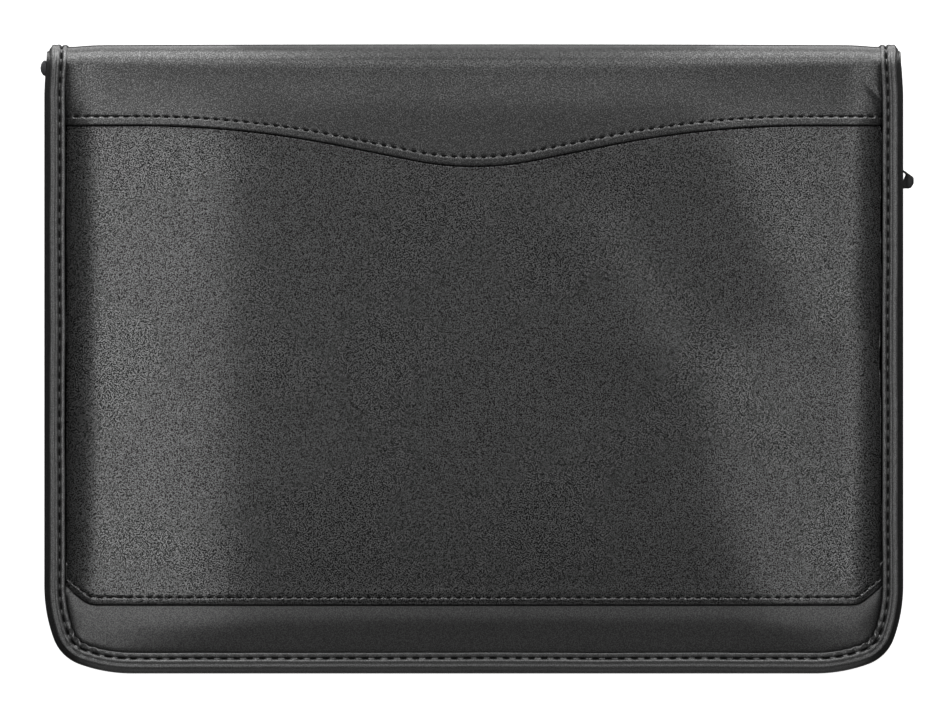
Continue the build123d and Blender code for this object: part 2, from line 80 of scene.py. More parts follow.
def linear(hex_colour: str) -> Tint:
    """Turn an sRGB hex colour into linear light.

    Args:
        hex_colour: colour such as "#1a1a1c".

    Returns:
        Red, green, blue and full alpha.
    """
    parts = [int(hex_colour[place:place + 2], 16) / 255 for place in (1, 3, 5)]
    red, green, blue = (c / 12.92 if c <= 0.04045 else ((c + 0.055) / 1.055) ** 2.4 for c in parts)
    return red, green, blue, 1.0


def add_node(
    tree: Tree, kind: str, inputs: dict[str | int, object] | None = None, **settings: object
) -> Node:
    """Add one node with its settings, values and links.

    Args:
        tree: tree that receives the node.
        kind: Blender's name for the kind of node.
        inputs: by name or number, a value, a socket to link, or a node to link by its first socket.
        settings: the node's own properties.

    Returns:
        The new node.
    """
    made = tree.nodes.new(kind)
    for name, value in settings.items():
        setattr(made, name, value)
    for key, value in (inputs or {}).items():
        given = value.outputs[0] if isinstance(value, Node) else value
        if isinstance(given, Socket):
            tree.links.new(given, made.inputs[key])
        else:
            made.inputs[key].default_value = given
    return made


def bare_tree(owner: bpy.types.Material | bpy.types.World) -> Tree:
    """Switch on a material's or world's node tree, and empty it."""
    owner.use_nodes = True
    owner.node_tree.nodes.clear()
    return owner.node_tree


def in_scene(name: str, data: bpy.types.ID) -> Piece:
    """Put a new object with this data into the scene."""
    made = bpy.data.objects.new(name, data)
    bpy.context.scene.collection.objects.link(made)
    return made


def box_of(node: str) -> tuple[Vector, Vector]:
    """Lowest and highest corner of a CAD node, in millimetres."""
    low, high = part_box(node)
    return low / MM, high / MM


def in_space(x: Array, y: Array, z: Array) -> Array:
    """Points in space from their three coordinates."""
    return np.stack(np.broadcast_arrays(x, y, z), axis=-1)


def left_of(line: Array) -> Array:
    """Way to the left of a flat line at each of its points."""
    way = np.gradient(line, axis=0)
    return np.column_stack([-way[:, 1], way[:, 0]]) / np.linalg.norm(way, axis=1)[:, None]


def length_along(points: Array) -> Array:
    """Length along a line at each of its points."""
    return np.concatenate([[0.0], np.cumsum(np.linalg.norm(np.diff(points, axis=0), axis=1))])


def ease(value: Array) -> Array:
    """Smooth rise from 0 to 1 as the value goes from 0 to 1."""
    held = np.clip(value, 0.0, 1.0)
    return held * held * (3.0 - 2.0 * held)


def bump(value: Array, middle: float, width: float) -> Array:
    """Soft hump of height 1 round a middle."""
    return np.exp(-(((value - middle) / width) ** 2))


def soft_waves(x: Array, y: Array, length: float, seed: int) -> Array:
    """Slow uneven waves over a surface, the same on every run.

    Args:
        x: places along the case.
        y: places across the case.
        length: typical distance from crest to crest.
        seed: picks one pattern.

    Returns:
        Heights from about -1 to 1.
    """
    draw = np.random.default_rng(seed)
    total = np.zeros(np.broadcast(x, y).shape)
    waves = 7
    for _ in range(waves):
        way = draw.uniform(0, math.pi)
        pace = 2 * math.pi / (length * draw.uniform(0.7, 1.6))
        start = draw.uniform(0, 2 * math.pi)
        total += np.sin((x * math.cos(way) + y * math.sin(way)) * pace + start)
    return total / math.sqrt(waves)


def rounded_line(points: Sequence[Sequence[float]], cuts: int, closed: bool) -> Array:
    """Draw a smooth line through a few points.

    Args:
        points: the few points.
        cuts: pieces that each run is cut into.
        closed: whether the line comes back to its start.

    Returns:
        Points along the smooth line.
    """
    given = np.asarray(points, float)
    count = len(given)
    made = []
    for run in range(count if closed else count - 1):
        picks = np.arange(run - 1, run + 3)
        a, b, c, d = given[picks % count if closed else np.clip(picks, 0, count - 1)]
        square, cube = 2 * a - 5 * b + 4 * c - d, 3 * b - a - 3 * c + d
        for t in np.arange(cuts) / cuts:
            made.append(0.5 * (2 * b + (c - a) * t + square * t**2 + cube * t**3))
    if not closed:
        made.append(given[-1])
    return np.array(made)


@dataclass
class Shell:
    """Points, faces and surface map of a mesh before it is made."""

    points: Array
    faces: list[list[int]]
    surface: Array | None = None


def loft(loops: Array, along: Array | None = None) -> Shell:
    """Skin a row of closed loops and cap both ends.

    Args:
        loops: loops by points by three.
        along: length along the row at each loop, for the surface map.

    Returns:
        The closed shell, with a surface map in metres where the lengths are given.
    """
    count, size, _ = loops.shape
    index = np.arange(count * size).reshape(count, size)
    step = np.roll(index, -1, axis=1)
    quads = np.stack([index[:-1], step[:-1], step[1:], index[1:]], axis=-1).reshape(-1, 4)
    faces = quads.tolist()
    faces.append(index[0][::-1].tolist())
    faces.append(index[-1].tolist())
    surface = None
    if along is not None:
        across = length_along(np.vstack([loops[0], loops[0][:1]]))
        sides = (along[:-1, None], along[1:, None], across[:-1], across[1:])
        near, far, low, high = (np.broadcast_to(side, (count - 1, size)) for side in sides)
        corners = [np.stack(pair, -1) for pair in ((near, low), (near, high), (far, high), (far, low))]
        surface = np.stack(corners, axis=2).reshape(-1, 2) * MM
        surface = np.vstack([surface, np.zeros((2 * size, 2))])
    return Shell(loops.reshape(-1, 3), faces, surface)


def two_faced(face: Array, back: Array) -> Shell:
    """Closed sheet from its two faces, each by columns and rows."""
    return loft(np.concatenate([face, back[:, ::-1]], axis=1))


def make_piece(name: str, shell: Shell, finish: "Finish", sharp: float | None = None) -> Piece:
    """Make an object at the origin from a shell.

    Args:
        name: name of the piece.
        shell: its points in millimetres and its faces.
        finish: what it is made of.
        sharp: angle in degrees past which an edge stays sharp.

    Returns:
        The new object, smooth and with its faces turned outwards.
    """
    mesh = bpy.data.meshes.new(name)
    mesh.from_pydata((shell.points * MM).tolist(), [], shell.faces)
    if shell.surface is not None:
        mesh.uv_layers.new(name="surface").data.foreach_set("uv", shell.surface.ravel())
    work = bmesh.new()
    work.from_mesh(mesh)
    bmesh.ops.recalc_face_normals(work, faces=work.faces)
    # On a broad thin skin the first guess can be inside out, and its volume tells.
    if work.calc_volume(signed=True) < 0:
        bmesh.ops.reverse_faces(work, faces=work.faces)
    work.to_mesh(mesh)
    work.free()
    mesh.shade_smooth()
    if sharp is not None:
        mesh.set_sharp_from_angle(angle=math.radians(sharp))
    mesh.materials.append(finish.material())
    return in_scene(name, mesh)


def round_edges(piece: Piece, width: float) -> Piece:
    """Round a piece's sharp edges.

    Args:
        piece: the piece.
        width: width of the rounding.

    Returns:
        The same piece.
    """
    rounding = piece.modifiers.new("rounding", "BEVEL")
    rounding.width, rounding.segments = width * MM, 3
    rounding.limit_method, rounding.angle_limit = "ANGLE", math.radians(40)
    baked = bpy.data.meshes.new_from_object(piece.evaluated_get(bpy.context.evaluated_depsgraph_get()))
    piece.modifiers.clear()
    piece.data = baked
    return piece


def flat_plate(outlines: Sequence[Array], place: Surface, thick: float) -> Shell:
    """Cut a plate with holes from flat outlines.

    Args:
        outlines: the outer outline first, then the holes.
        place: turns flat points and their heights into points in space.
        thick: thickness of the plate.

    Returns:
        The closed shell of the plate.
    """
    work = bmesh.new()
    for outline in outlines:
        ring = [work.verts.new((point[0], point[1], 0.0)) for point in outline]
        for start, end in zip(ring, ring[1:] + ring[:1]):
            work.edges.new((start, end))
    bmesh.ops.triangle_fill(work, use_beauty=True, use_dissolve=True, edges=work.edges[:])
    raised = bmesh.ops.extrude_face_region(work, geom=work.faces[:])
    for item in raised["geom"]:
        if isinstance(item, bmesh.types.BMVert):
            item.co.z = thick
    work.verts.index_update()
    flat = np.array([vertex.co for vertex in work.verts])
    faces = [[vertex.index for vertex in face.verts] for face in work.faces]
    work.free()
    return Shell(place(flat[:, :2], flat[:, 2]), faces)


def rounded_rectangle(low: Sequence[float], high: Sequence[float], radius: float, steps: int = 5) -> Array:
    """Outline of a rectangle with round corners.

    Args:
        low: its lowest corner.
        high: its highest corner.
        radius: radius of the corners.
        steps: runs in each corner.

    Returns:
        Points round the outline.
    """
    made = []
    corners = ((high[0], high[1], 0), (low[0], high[1], 1), (low[0], low[1], 2), (high[0], low[1], 3))
    for x, y, quarter in corners:
        centre_x = x - math.copysign(radius, x - low[0] - radius)
        centre_y = y - math.copysign(radius, y - low[1] - radius)
        for step in range(steps + 1):
            turn = (quarter + step / steps) * math.pi / 2
            made.append((centre_x + radius * math.cos(turn), centre_y + radius * math.sin(turn)))
    return np.array(made)


class Side(StrEnum):
    """The two hinged halves of the case."""

    FRONT = "front"
    REAR = "rear"

    @property
    def body(self) -> str:
        """Name of the CAD body of this half."""
        return f"{self}_cover"


@dataclass(frozen=True)
class Finish:
    """A surface finish: two tones, how rough it is and how deep its relief is.

    The pattern method gives the relief and the mix of the tones.
    """

    name: str
    light: str
    dark: str
    roughness: float = 0.5
    rough_spread: float = 0.1
    relief: float = 0.08
    metallic: float = 0.0
    sheen: float = 0.0
    specular: float = 0.5
    specular_spread: float = 0.0

    def pattern(self, tree: Tree, place: Node) -> Pattern:
        """Relief and mix of tones over the surface, each from 0 to 1.

        Args:
            tree: the material's nodes.
            place: Texture Coordinate node.

        Returns:
            The relief's socket and the mix's socket.
        """
        where = place.outputs["Object"]
        # Width of the fine specks, and of the slow patches.
        sizes = (0.8, 12.0)
        grain, patches = (
            add_node(tree, NOISE, {"Vector": where, "Scale": 1 / (size * MM)}) for size in sizes
        )
        return grain.outputs["Fac"], patches.outputs["Fac"]

    def material(self) -> bpy.types.Material:
        """The Blender material of this finish, made on first use."""
        found = bpy.data.materials.get(self.name)
        if found:
            return found
        made = bpy.data.materials.new(self.name)
        tree = bare_tree(made)
        place = add_node(tree, "ShaderNodeTexCoord")
        relief, mix = self.pattern(tree, place)
        # Inputs 6 and 7 and output 2 of a Mix node are its colours.
        tone = add_node(
            tree, "ShaderNodeMix", {0: mix, 6: linear(self.dark), 7: linear(self.light)}, data_type="RGBA"
        )
        spread, swing = self.rough_spread / 2, self.specular_spread / 2
        limits = {"To Min": self.roughness + spread, "To Max": self.roughness - spread}
        rough = add_node(tree, MAP_RANGE, {"Value": mix, **limits})
        normal = add_node(
            tree, "ShaderNodeBump", {"Height": relief, "Distance": self.relief * MM, "Strength": 1.0}
        )
        given = {
            "Base Color": tone.outputs[2], "Roughness": rough, "Metallic": self.metallic, "Normal": normal
        }
        given |= {"Specular IOR Level": self.specular, "Sheen Weight": self.sheen}
        shader = add_node(tree, "ShaderNodeBsdfPrincipled", given)
        if swing:
            limits = {"To Min": self.specular - swing, "To Max": self.specular + swing}
            shine = add_node(tree, MAP_RANGE, {"Value": relief, **limits})
            tree.links.new(shine.outputs[0], shader.inputs["Specular IOR Level"])
        add_node(tree, "ShaderNodeOutputMaterial", {"Surface": shader})
        return made


@dataclass(frozen=True)
class GrainLeather(Finish):
    """Embossed leather: a fine speckled grain, with slow patches of wear."""

    grain: float = 0.46
    patch: float = 45.0
    pores: float = 0.36
    tops: float = 0.66

    def pattern(self, tree: Tree, place: Node) -> Pattern:
        """Speckled grain as the relief, with the worn patches in the mix of tones."""
        # Turned, so that no face lies along the noise's own planes.
        turned = add_node(
            tree, "ShaderNodeMapping", {"Vector": place.outputs["Object"], "Rotation": (0.6, 0.45, 0.3)}
        )
        grain, worn = (
            add_node(tree, NOISE, {"Vector": turned, "Scale": 1 / (size * MM), "Detail": fine})
            for size, fine in ((self.grain, 1.5), (self.patch, 3.0))
        )
        dots = add_node(
            tree, MAP_RANGE, {"Value": grain.outputs["Fac"], "From Min": self.pores, "From Max": self.tops},
            interpolation_type="SMOOTHSTEP",
        )
        wear = add_node(tree, MATH, {0: worn.outputs["Fac"], 1: 0.9, 2: 0.5}, operation="MULTIPLY_ADD")
        mix = add_node(tree, MATH, {0: dots, 1: wear}, operation="MULTIPLY", use_clamp=True)
        return dots.outputs[0], mix.outputs[0]


@dataclass(frozen=True)
class PlainWeave(Finish):
    """Plain woven cloth: warp and weft crossing at right angles."""

    thread: float = 0.9

    def pattern(self, tree: Tree, place: Node) -> Pattern:
        """Crossing threads as the relief, with slubs in the mix of tones."""
        where = place.outputs["Object"]
        pace = WAVE_CREST / (self.thread * MM)
        warp, weft = (
            add_node(tree, WAVE, {"Vector": where, "Scale": pace}, bands_direction=way) for way in "XY"
        )
        slubs = add_node(tree, NOISE, {"Vector": where, "Scale": 1 / (6 * MM), "Detail": 3.0})
        cross = add_node(tree, MATH, {0: warp.outputs["Fac"], 1: weft.outputs["Fac"]}, operation="MULTIPLY")
        mix = add_node(
            tree, MATH, {0: cross, 1: 0.6, 2: slubs.outputs["Fac"]}, operation="MULTIPLY_ADD", use_clamp=True
        )
        return cross.outputs[0], mix.outputs[0]


@dataclass(frozen=True)
class TapeWeave(Finish):
    """Herringbone tape: slanting ribs that turn back at each band, laid along the tape."""

    rib: float = 1.0
    band: float = 2.2

    def pattern(self, tree: Tree, place: Node) -> Pattern:
        """Slanting ribs as the relief and the mix of tones."""
        parts = add_node(tree, "ShaderNodeSeparateXYZ", {0: place.outputs["UV"]})
        zigzag = add_node(tree, MATH, {0: parts.outputs[1], 1: self.band * MM}, operation="PINGPONG")
        slant = add_node(tree, MATH, {0: parts.outputs[0], 1: zigzag}, operation="ADD")
        turns = add_node(tree, MATH, {0: slant, 1: 2 * math.pi / (self.rib * MM)}, operation="MULTIPLY")
        wave = add_node(tree, MATH, {0: turns}, operation="SINE")
        rise = add_node(tree, MATH, {0: wave, 1: 0.5, 2: 0.5}, operation="MULTIPLY_ADD")
        return rise.outputs[0], rise.outputs[0]


@dataclass(frozen=True)
class RibbedWebbing(Finish):
    """Elastic webbing: cords side by side along X, under a fine wrap."""

    rib: float = 1.25

    def pattern(self, tree: Tree, place: Node) -> Pattern:
        """Cords as the relief, with the wrap in the mix of tones."""
        where = place.outputs["Object"]
        cords = add_node(
            tree, WAVE, {"Vector": where, "Scale": WAVE_CREST / (self.rib * MM)}, bands_direction="X"
        )
        wrap = add_node(tree, NOISE, {"Vector": where, "Scale": 1 / (0.5 * MM)})
        mix = add_node(tree, MATH, {0: cords.outputs["Fac"], 1: wrap.outputs["Fac"]}, operation="MULTIPLY")
        return cords.outputs["Fac"], mix.outputs[0]


@dataclass(frozen=True)
class RuledPaper(Finish):
    """Writing paper: ruled lines across the page and one margin line down it."""

    line_gap: float = 7.1
    line_width: float = 0.35
    first_line: float = 0.0
    margin_line: float = 0.0

    def pattern(self, tree: Tree, place: Node) -> Pattern:
        """Paper fibre as the relief, with the printed lines in the mix of tones."""
        where = place.outputs["Object"]
        fibre = add_node(tree, NOISE, {"Vector": where, "Scale": 1 / (0.6 * MM), "Detail": 4.0})
        parts = add_node(tree, "ShaderNodeSeparateXYZ", {0: where})
        along, across = parts.outputs[0], parts.outputs[1]
        lines = add_node(tree, MATH, {0: along, 1: self.first_line * MM}, operation="SUBTRACT")
        lines = add_node(tree, MATH, {0: lines, 1: self.line_gap * MM}, operation="FLOORED_MODULO")
        margin = add_node(tree, MATH, {0: across, 1: self.margin_line * MM}, operation="SUBTRACT")
        margin = add_node(tree, MATH, {0: margin}, operation="ABSOLUTE")
        lines, margin = (
            add_node(tree, MATH, {0: gap, 1: self.line_width * MM}, operation="GREATER_THAN")
            for gap in (lines, margin)
        )
        bare = add_node(tree, MATH, {0: lines, 1: margin}, operation="MULTIPLY")
        return fibre.outputs["Fac"], bare.outputs[0]


@dataclass(frozen=True)
class PaperEdges(Finish):
    """The cut side of a stack of sheets: thin level lines."""

    sheet: float = 0.5

    def pattern(self, tree: Tree, place: Node) -> Pattern:
        """Level lines as the relief and the mix of tones."""
        lines = add_node(
            tree, WAVE,
            {"Vector": place.outputs["Object"], "Scale": WAVE_CREST / (self.sheet * MM), "Distortion": 0.6},
            bands_direction="Z",
        )
        return lines.outputs["Fac"], lines.outputs["Fac"]


# Black leather with a fine embossed grain: the tops of the grain shine and the pores don't, so
# broad soft highlights break into a speckle. The grain is about 0.3 mm, drawn at 0.46 mm to show.
LEATHER = GrainLeather(
    "black_grain_leather", "#333333", "#060606", roughness=0.24, rough_spread=0.04, relief=0.0015,
    specular=0.55, specular_spread=1.0,
)
# The same hide stretched over the yoke and fold: the grain is pulled flatter, so it speckles less.
YOKE_LEATHER = GrainLeather(
    "black_yoke_leather", "#343434", "#0d0d0d", roughness=0.25, rough_spread=0.05, relief=0.0015,
    specular=0.8, specular_spread=0.8, pores=0.42, tops=0.76,
)
# The same hide from a smoother part of the skin, on the hem: little speckle.
HEM_LEATHER = GrainLeather(
    "black_smooth_leather", "#2b2b2b", "#0b0b0b", roughness=0.30, rough_spread=0.05, relief=0.0015,
    specular=0.6, specular_spread=0.3,
)
# The same hide cut into narrow strips and pulled round an edge: smoother, with finer grain.
STRIP_LEATHER = GrainLeather(
    "black_strip_leather", "#2b2b2b", "#0a0a0a", roughness=0.33, rough_spread=0.06, relief=0.003,
    specular=1.0, specular_spread=0.5,
)
# Spun polyester thread: dull black, with the twist too fine to see as more than a speckle.
THREAD = Finish("black_polyester_thread", "#070707", "#030303", roughness=0.85, relief=0.05, specular=0.15)
# Nylon lining: plain weave, 0.4 mm threads drawn at 0.9 mm so that they show; a faint sheen.
LINING = PlainWeave("black_nylon_lining", "#26262a", "#121214", roughness=0.55, relief=0.10, sheen=0.15)
# Heavier pocket cloth: the same weave in thicker yarn.
POCKET_CLOTH = PlainWeave(
    "charcoal_pocket_cloth", "#2d2d31", "#161618", roughness=0.62, relief=0.14, sheen=0.15, thread=1.2
)
# Woven zip tape: matt polyester with a herringbone rib.
TAPE = TapeWeave("black_zip_tape", "#202023", "#0c0c0d", roughness=0.68, relief=0.14, sheen=0.1)
# Nylon coil: matt satin black.
COIL = Finish(
    "black_nylon_coil", "#1b1b1d", "#101011", roughness=0.5, rough_spread=0.08, relief=0.02, specular=0.3
)
# Zinc casting under black lacquer: glossy, a little uneven.
LACQUER = Finish(
    "black_lacquered_zinc", "#0e0e10", "#070708", roughness=0.3, rough_spread=0.1, relief=0.03, specular=0.25
)
# Uncoated writing paper, warm white with pale blue rules 7.1 mm apart.
RULED = RuledPaper(
    "ruled_paper", "#f2f0e8", "#a9bad2", roughness=0.82, rough_spread=0.02, relief=0.02, first_line=3.0,
    margin_line=70.5,
)
# Cut edges of the sheets: one 0.1 mm sheet is too thin to show, so bundles of five are drawn.
SHEET_EDGES = PaperEdges("cut_paper_edges", "#f0eee6", "#cfccc2", roughness=0.85, relief=0.10)
# Grey chipboard: raw, speckled fibre.
CARD = Finish("grey_chipboard", "#8f8a82", "#6f6a63", roughness=0.88, relief=0.06)
# Paper binding strip on the pad's head: dark blue-grey, slightly coated.
HEAD_TAPE = Finish("dark_binding_paper", "#2c2f38", "#22242b", roughness=0.5, relief=0.04)
# Elastic webbing: ribbed, matt black.
ELASTIC = RibbedWebbing("black_elastic_webbing", "#1d1d1f", "#0b0b0c", roughness=0.7, relief=0.2, sheen=0.15)
# Stiffening board inside the covers: fibreboard dyed through, matt black.
BOARD = Finish("black_fibreboard", "#232120", "#1a1918", roughness=0.9, relief=0.06)


@dataclass(frozen=True)
class CaseSizes:
    """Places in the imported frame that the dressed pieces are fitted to.

    Depth is counted from a cover's outermost face into the case.
    """

    half_width: float
    zip_y: float
    hinge_y: float
    spine_y: float
    top: float
    rear_lining: float
    front_lining: float

    @classmethod
    def from_frame(cls) -> "CaseSizes":
        """Read the places from the CAD nodes' boxes."""
        low, high = box_of("front_binding")
        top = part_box("front_yoke")[1].z / MM
        return cls(
            half_width=high.x, zip_y=low.y, hinge_y=high.y, spine_y=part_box("spine_leather")[1].y / MM,
            top=top, rear_lining=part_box("rear_lining")[1].z / MM,
            front_lining=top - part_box("front_lining")[0].z / MM,
        )

    @property
    def fold_radius(self) -> float:
        """Outer radius of the folds beside the spine."""
        return self.spine_y - self.hinge_y

    @property
    def half_spine(self) -> float:
        """Run down the flat spine from a fold to its middle."""
        return self.top / 2 - self.fold_radius

    def lining_depth(self, side: Side) -> float:
        """Depth of the lining's inner face."""
        return self.front_lining if side is Side.FRONT else self.rear_lining

    def height(self, side: Side, depth: Array) -> Array:
        """Height above the floor of a depth in a cover."""
        return self.top - depth if side is Side.FRONT else depth

    def place(
        self, side: Side, x: Array, y: Array, depth: Array, turn: Array = 0.0, run: Array = 0.0
    ) -> Array:
        """Points on a cover, round its fold and down the spine.

        Args:
            side: which cover.
            x: place along the spine.
            y: place across the cover, or the hinge line past it.
            depth: depth under the cover's outermost face.
            turn: angle turned round the fold.
            run: run down the flat spine past the fold.

        Returns:
            Points by three.
        """
        reach = self.fold_radius - depth
        across = y + reach * np.sin(turn)
        down = depth + reach * (1 - np.cos(turn)) + run
        return in_space(x, across, self.height(side, down))

    def past_hinge(self, bends: int, drops: int) -> tuple[Array, Array]:
        """Turn and run of so many samples round a fold, and so many more down to the middle of the spine."""
        turn, run = np.linspace(0, math.pi / 2, bends + 1)[1:], np.linspace(0, self.half_spine, drops + 1)[1:]
        return np.pad(turn, (0, drops), mode="edge"), np.pad(run, (bends, 0))

    def bend(self, piece: Piece, side: Side) -> None:
        """Bake a piece's placement into its mesh, for a piece that runs from its cover over the fold to the
        spine.
        """
        start = self.place(side, 0.0, self.hinge_y, 0.0) * MM
        end = self.place(side, 0.0, self.hinge_y, 0.0, math.pi / 2) * MM
        side.body
        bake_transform(piece)


CASE = CaseSizes.from_frame()


def fit(
    piece: Piece, nodes: Sequence[str], body: str | None = None, bend: Side | None = None
) -> None:
    """Hand a finished piece to the frame and report it.

    Args:
        piece: the piece.
        nodes: CAD nodes that it stands for.
        body: CAD body that carries it.
        bend: cover from which it runs over its fold to the spine; such a piece is baked in place instead of
            joining a body.
    """
    if bend is None:
        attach(piece, body)
    else:
        CASE.bend(piece, bend)
    if nodes:
        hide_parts(*nodes)
    LOG.info("%s: %d faces, on %s", piece.name, len(piece.data.polygons), body or f"{bend.body} and spine")


@dataclass(frozen=True)
class CoverOutline:
    """Plan of a cover: straight at the spine, eased round corners at the zip edge."""

    corner_radius: float = 17.5
    ease_radius: float = 63.5
    ease_angle: float = math.radians(20)

    @property
    def arcs(self) -> list[tuple[float, float, float, float, float]]:
        """Centre, radius and angles of the right corner's arcs, turning from the side to the front."""
        spread = self.ease_radius - self.corner_radius
        middle = math.pi / 2 - self.ease_angle
        across, down = spread * math.cos(self.ease_angle), spread * math.sin(self.ease_angle)
        reach = self.ease_radius - across + down
        side_x, side_y = CASE.half_width - self.ease_radius, CASE.zip_y + reach
        tight_x, tight_y = side_x + across, side_y - down
        front_x, front_y = CASE.half_width - reach, CASE.zip_y + self.ease_radius
        return [
            (side_x, side_y, self.ease_radius, 0.0, self.ease_angle),
            (tight_x, tight_y, self.corner_radius, self.ease_angle, middle),
            (front_x, front_y, self.ease_radius, middle, math.pi / 2),
        ]

    def trace(self, step: float, corner_step: float, inset: float = 0.0) -> tuple[Array, Array]:
        """Follow the edge from the left hinge round the zip side to the right hinge.

        Args:
            step: spacing on the straight runs.
            corner_step: spacing in the corners.
            inset: distance inside the outline.

        Returns:
            Points by two, and the way outwards at each.
        """
        first_y, last_x = self.arcs[0][1], self.arcs[2][0]
        runs = max(2, math.ceil((CASE.hinge_y - first_y) / step))
        side = np.linspace(CASE.hinge_y, first_y, runs + 1)[:-1]
        rows = [(CASE.half_width - inset, y, 1.0, 0.0) for y in side]
        for centre_x, centre_y, radius, start, finish in self.arcs:
            runs = max(2, math.ceil(radius * (finish - start) / corner_step))
            reach = radius - inset
            for turn in np.linspace(start, finish, runs + 1)[:-1]:
                right, up = math.cos(turn), -math.sin(turn)
                rows.append((centre_x + reach * right, centre_y + reach * up, right, up))
        front = np.linspace(last_x, 0.0, max(2, math.ceil(last_x / step)) + 1)
        rows = np.array(rows + [(x, CASE.zip_y + inset, 0.0, -1.0) for x in front])
        both = np.vstack([rows * (-1.0, 1.0, -1.0, 1.0), rows[-2::-1]])
        return both[:, :2], both[:, 2:]

    def inset_of(self, x: Array, y: Array) -> Array:
        """How far inside the edge a point lies.

        Args:
            x: places along the spine.
            y: places across the cover.

        Returns:
            Distances from the edge at the sides, corners and front.
        """
        x, y = np.broadcast_arrays(np.abs(x), y)
        inset = np.minimum(CASE.half_width - x, y - CASE.zip_y)
        for centre_x, centre_y, radius, start, finish in self.arcs:
            along, down = x - centre_x, centre_y - y
            turn = np.arctan2(down, along)
            within = (turn >= start) & (turn <= finish) & (along > 0) & (down > 0)
            inset = np.where(within, np.minimum(inset, radius - np.hypot(along, down)), inset)
        return inset

    def front_edge(self, x: Array, inset: float) -> Array:
        """Y of the zip-side edge at each place along the spine, at an inset."""
        points, _ = self.trace(5.0, 0.4, inset)
        right = points[len(points) // 2:]
        return np.interp(np.abs(x), right[:, 0], right[:, 1])

    def columns(self, inset: float, step: float) -> Array:
        """Places along the spine for a panel's columns, closer near the ends and corners."""
        points, _ = self.trace(step, 1.6, inset)
        corner = points[len(points) // 2:]
        corner = corner[corner[:, 1] < CASE.zip_y + 40.0][:, 0]
        limit = CASE.half_width - inset
        side = limit - np.array([0.0, 0.3, 0.6, 0.9, 1.2, 1.6, 2.1, 2.7, 3.4, 4.3, 5.4, 6.8, 8.5, 10.5])
        right = np.unique(np.round(np.concatenate([[0.0], corner, side]), 3))
        keep = [right[0]]
        for place in right[1:]:
            if place - keep[-1] > 0.22:
                keep.append(place)
        keep[-1] = limit
        right = np.array(keep)
        return np.concatenate([-right[:0:-1], right])


OUTLINE = CoverOutline()


@dataclass(frozen=True)
class EdgePath:
    """Line round a cover's edge, with its ends over the folds and down to the middle of the spine."""

    points: Array
    ways: Array
    turn: Array
    run: Array

    @classmethod
    def around(cls, step: float, corner_step: float, over_fold: bool) -> "EdgePath":
        """Follow a cover's edge.

        Args:
            step: spacing on the straight runs.
            corner_step: spacing in the corners and folds.
            over_fold: whether the ends go on to the middle of the spine.

        Returns:
            The line, from the left end to the right one.
        """
        points, ways = OUTLINE.trace(step, corner_step)
        turn, run = np.zeros(len(points)), np.zeros(len(points))
        if over_fold:
            bends = math.ceil(CASE.fold_radius * math.pi / 2 / corner_step)
            more_turn, more_run = CASE.past_hinge(bends, math.ceil(CASE.half_spine / step))
            more = ((len(more_turn),) * 2, (0, 0))
            points, ways = (np.pad(line, more, mode="edge") for line in (points, ways))
            turn = np.concatenate([more_turn[::-1], turn, more_turn])
            run = np.concatenate([more_run[::-1], run, more_run])
        return cls(points, ways, turn, run)

    def cut(self, keep: Array) -> "EdgePath":
        """The part of the line whose samples are kept."""
        return EdgePath(self.points[keep], self.ways[keep], self.turn[keep], self.run[keep])

    def lay(self, side: Side, inset: Array, depth: Array) -> Array:
        """Points at an inset and depth all along the line.

        Args:
            side: which cover.
            inset: distance inside the edge: one for all, for each sample, or samples by points of a section.
            depth: depth under the cover's outermost face, likewise.

        Returns:
            Points in space, by three.
        """
        inset, depth = np.broadcast_arrays(inset, depth)
        spread = (slice(None),) + (None,) * (inset.ndim - 1)
        x = self.points[:, 0][spread] - self.ways[:, 0][spread] * inset
        y = self.points[:, 1][spread] - self.ways[:, 1][spread] * inset
        return CASE.place(side, x, y, depth, self.turn[spread], self.run[spread])

    def cornering(self) -> Array:
        """How sharply the line turns in plan: 1 in the tight arcs, 0 on straight runs."""
        middle = np.minimum(np.abs(self.ways[:, 0]), np.abs(self.ways[:, 1]))
        return ease((middle - 0.12) / 0.32)


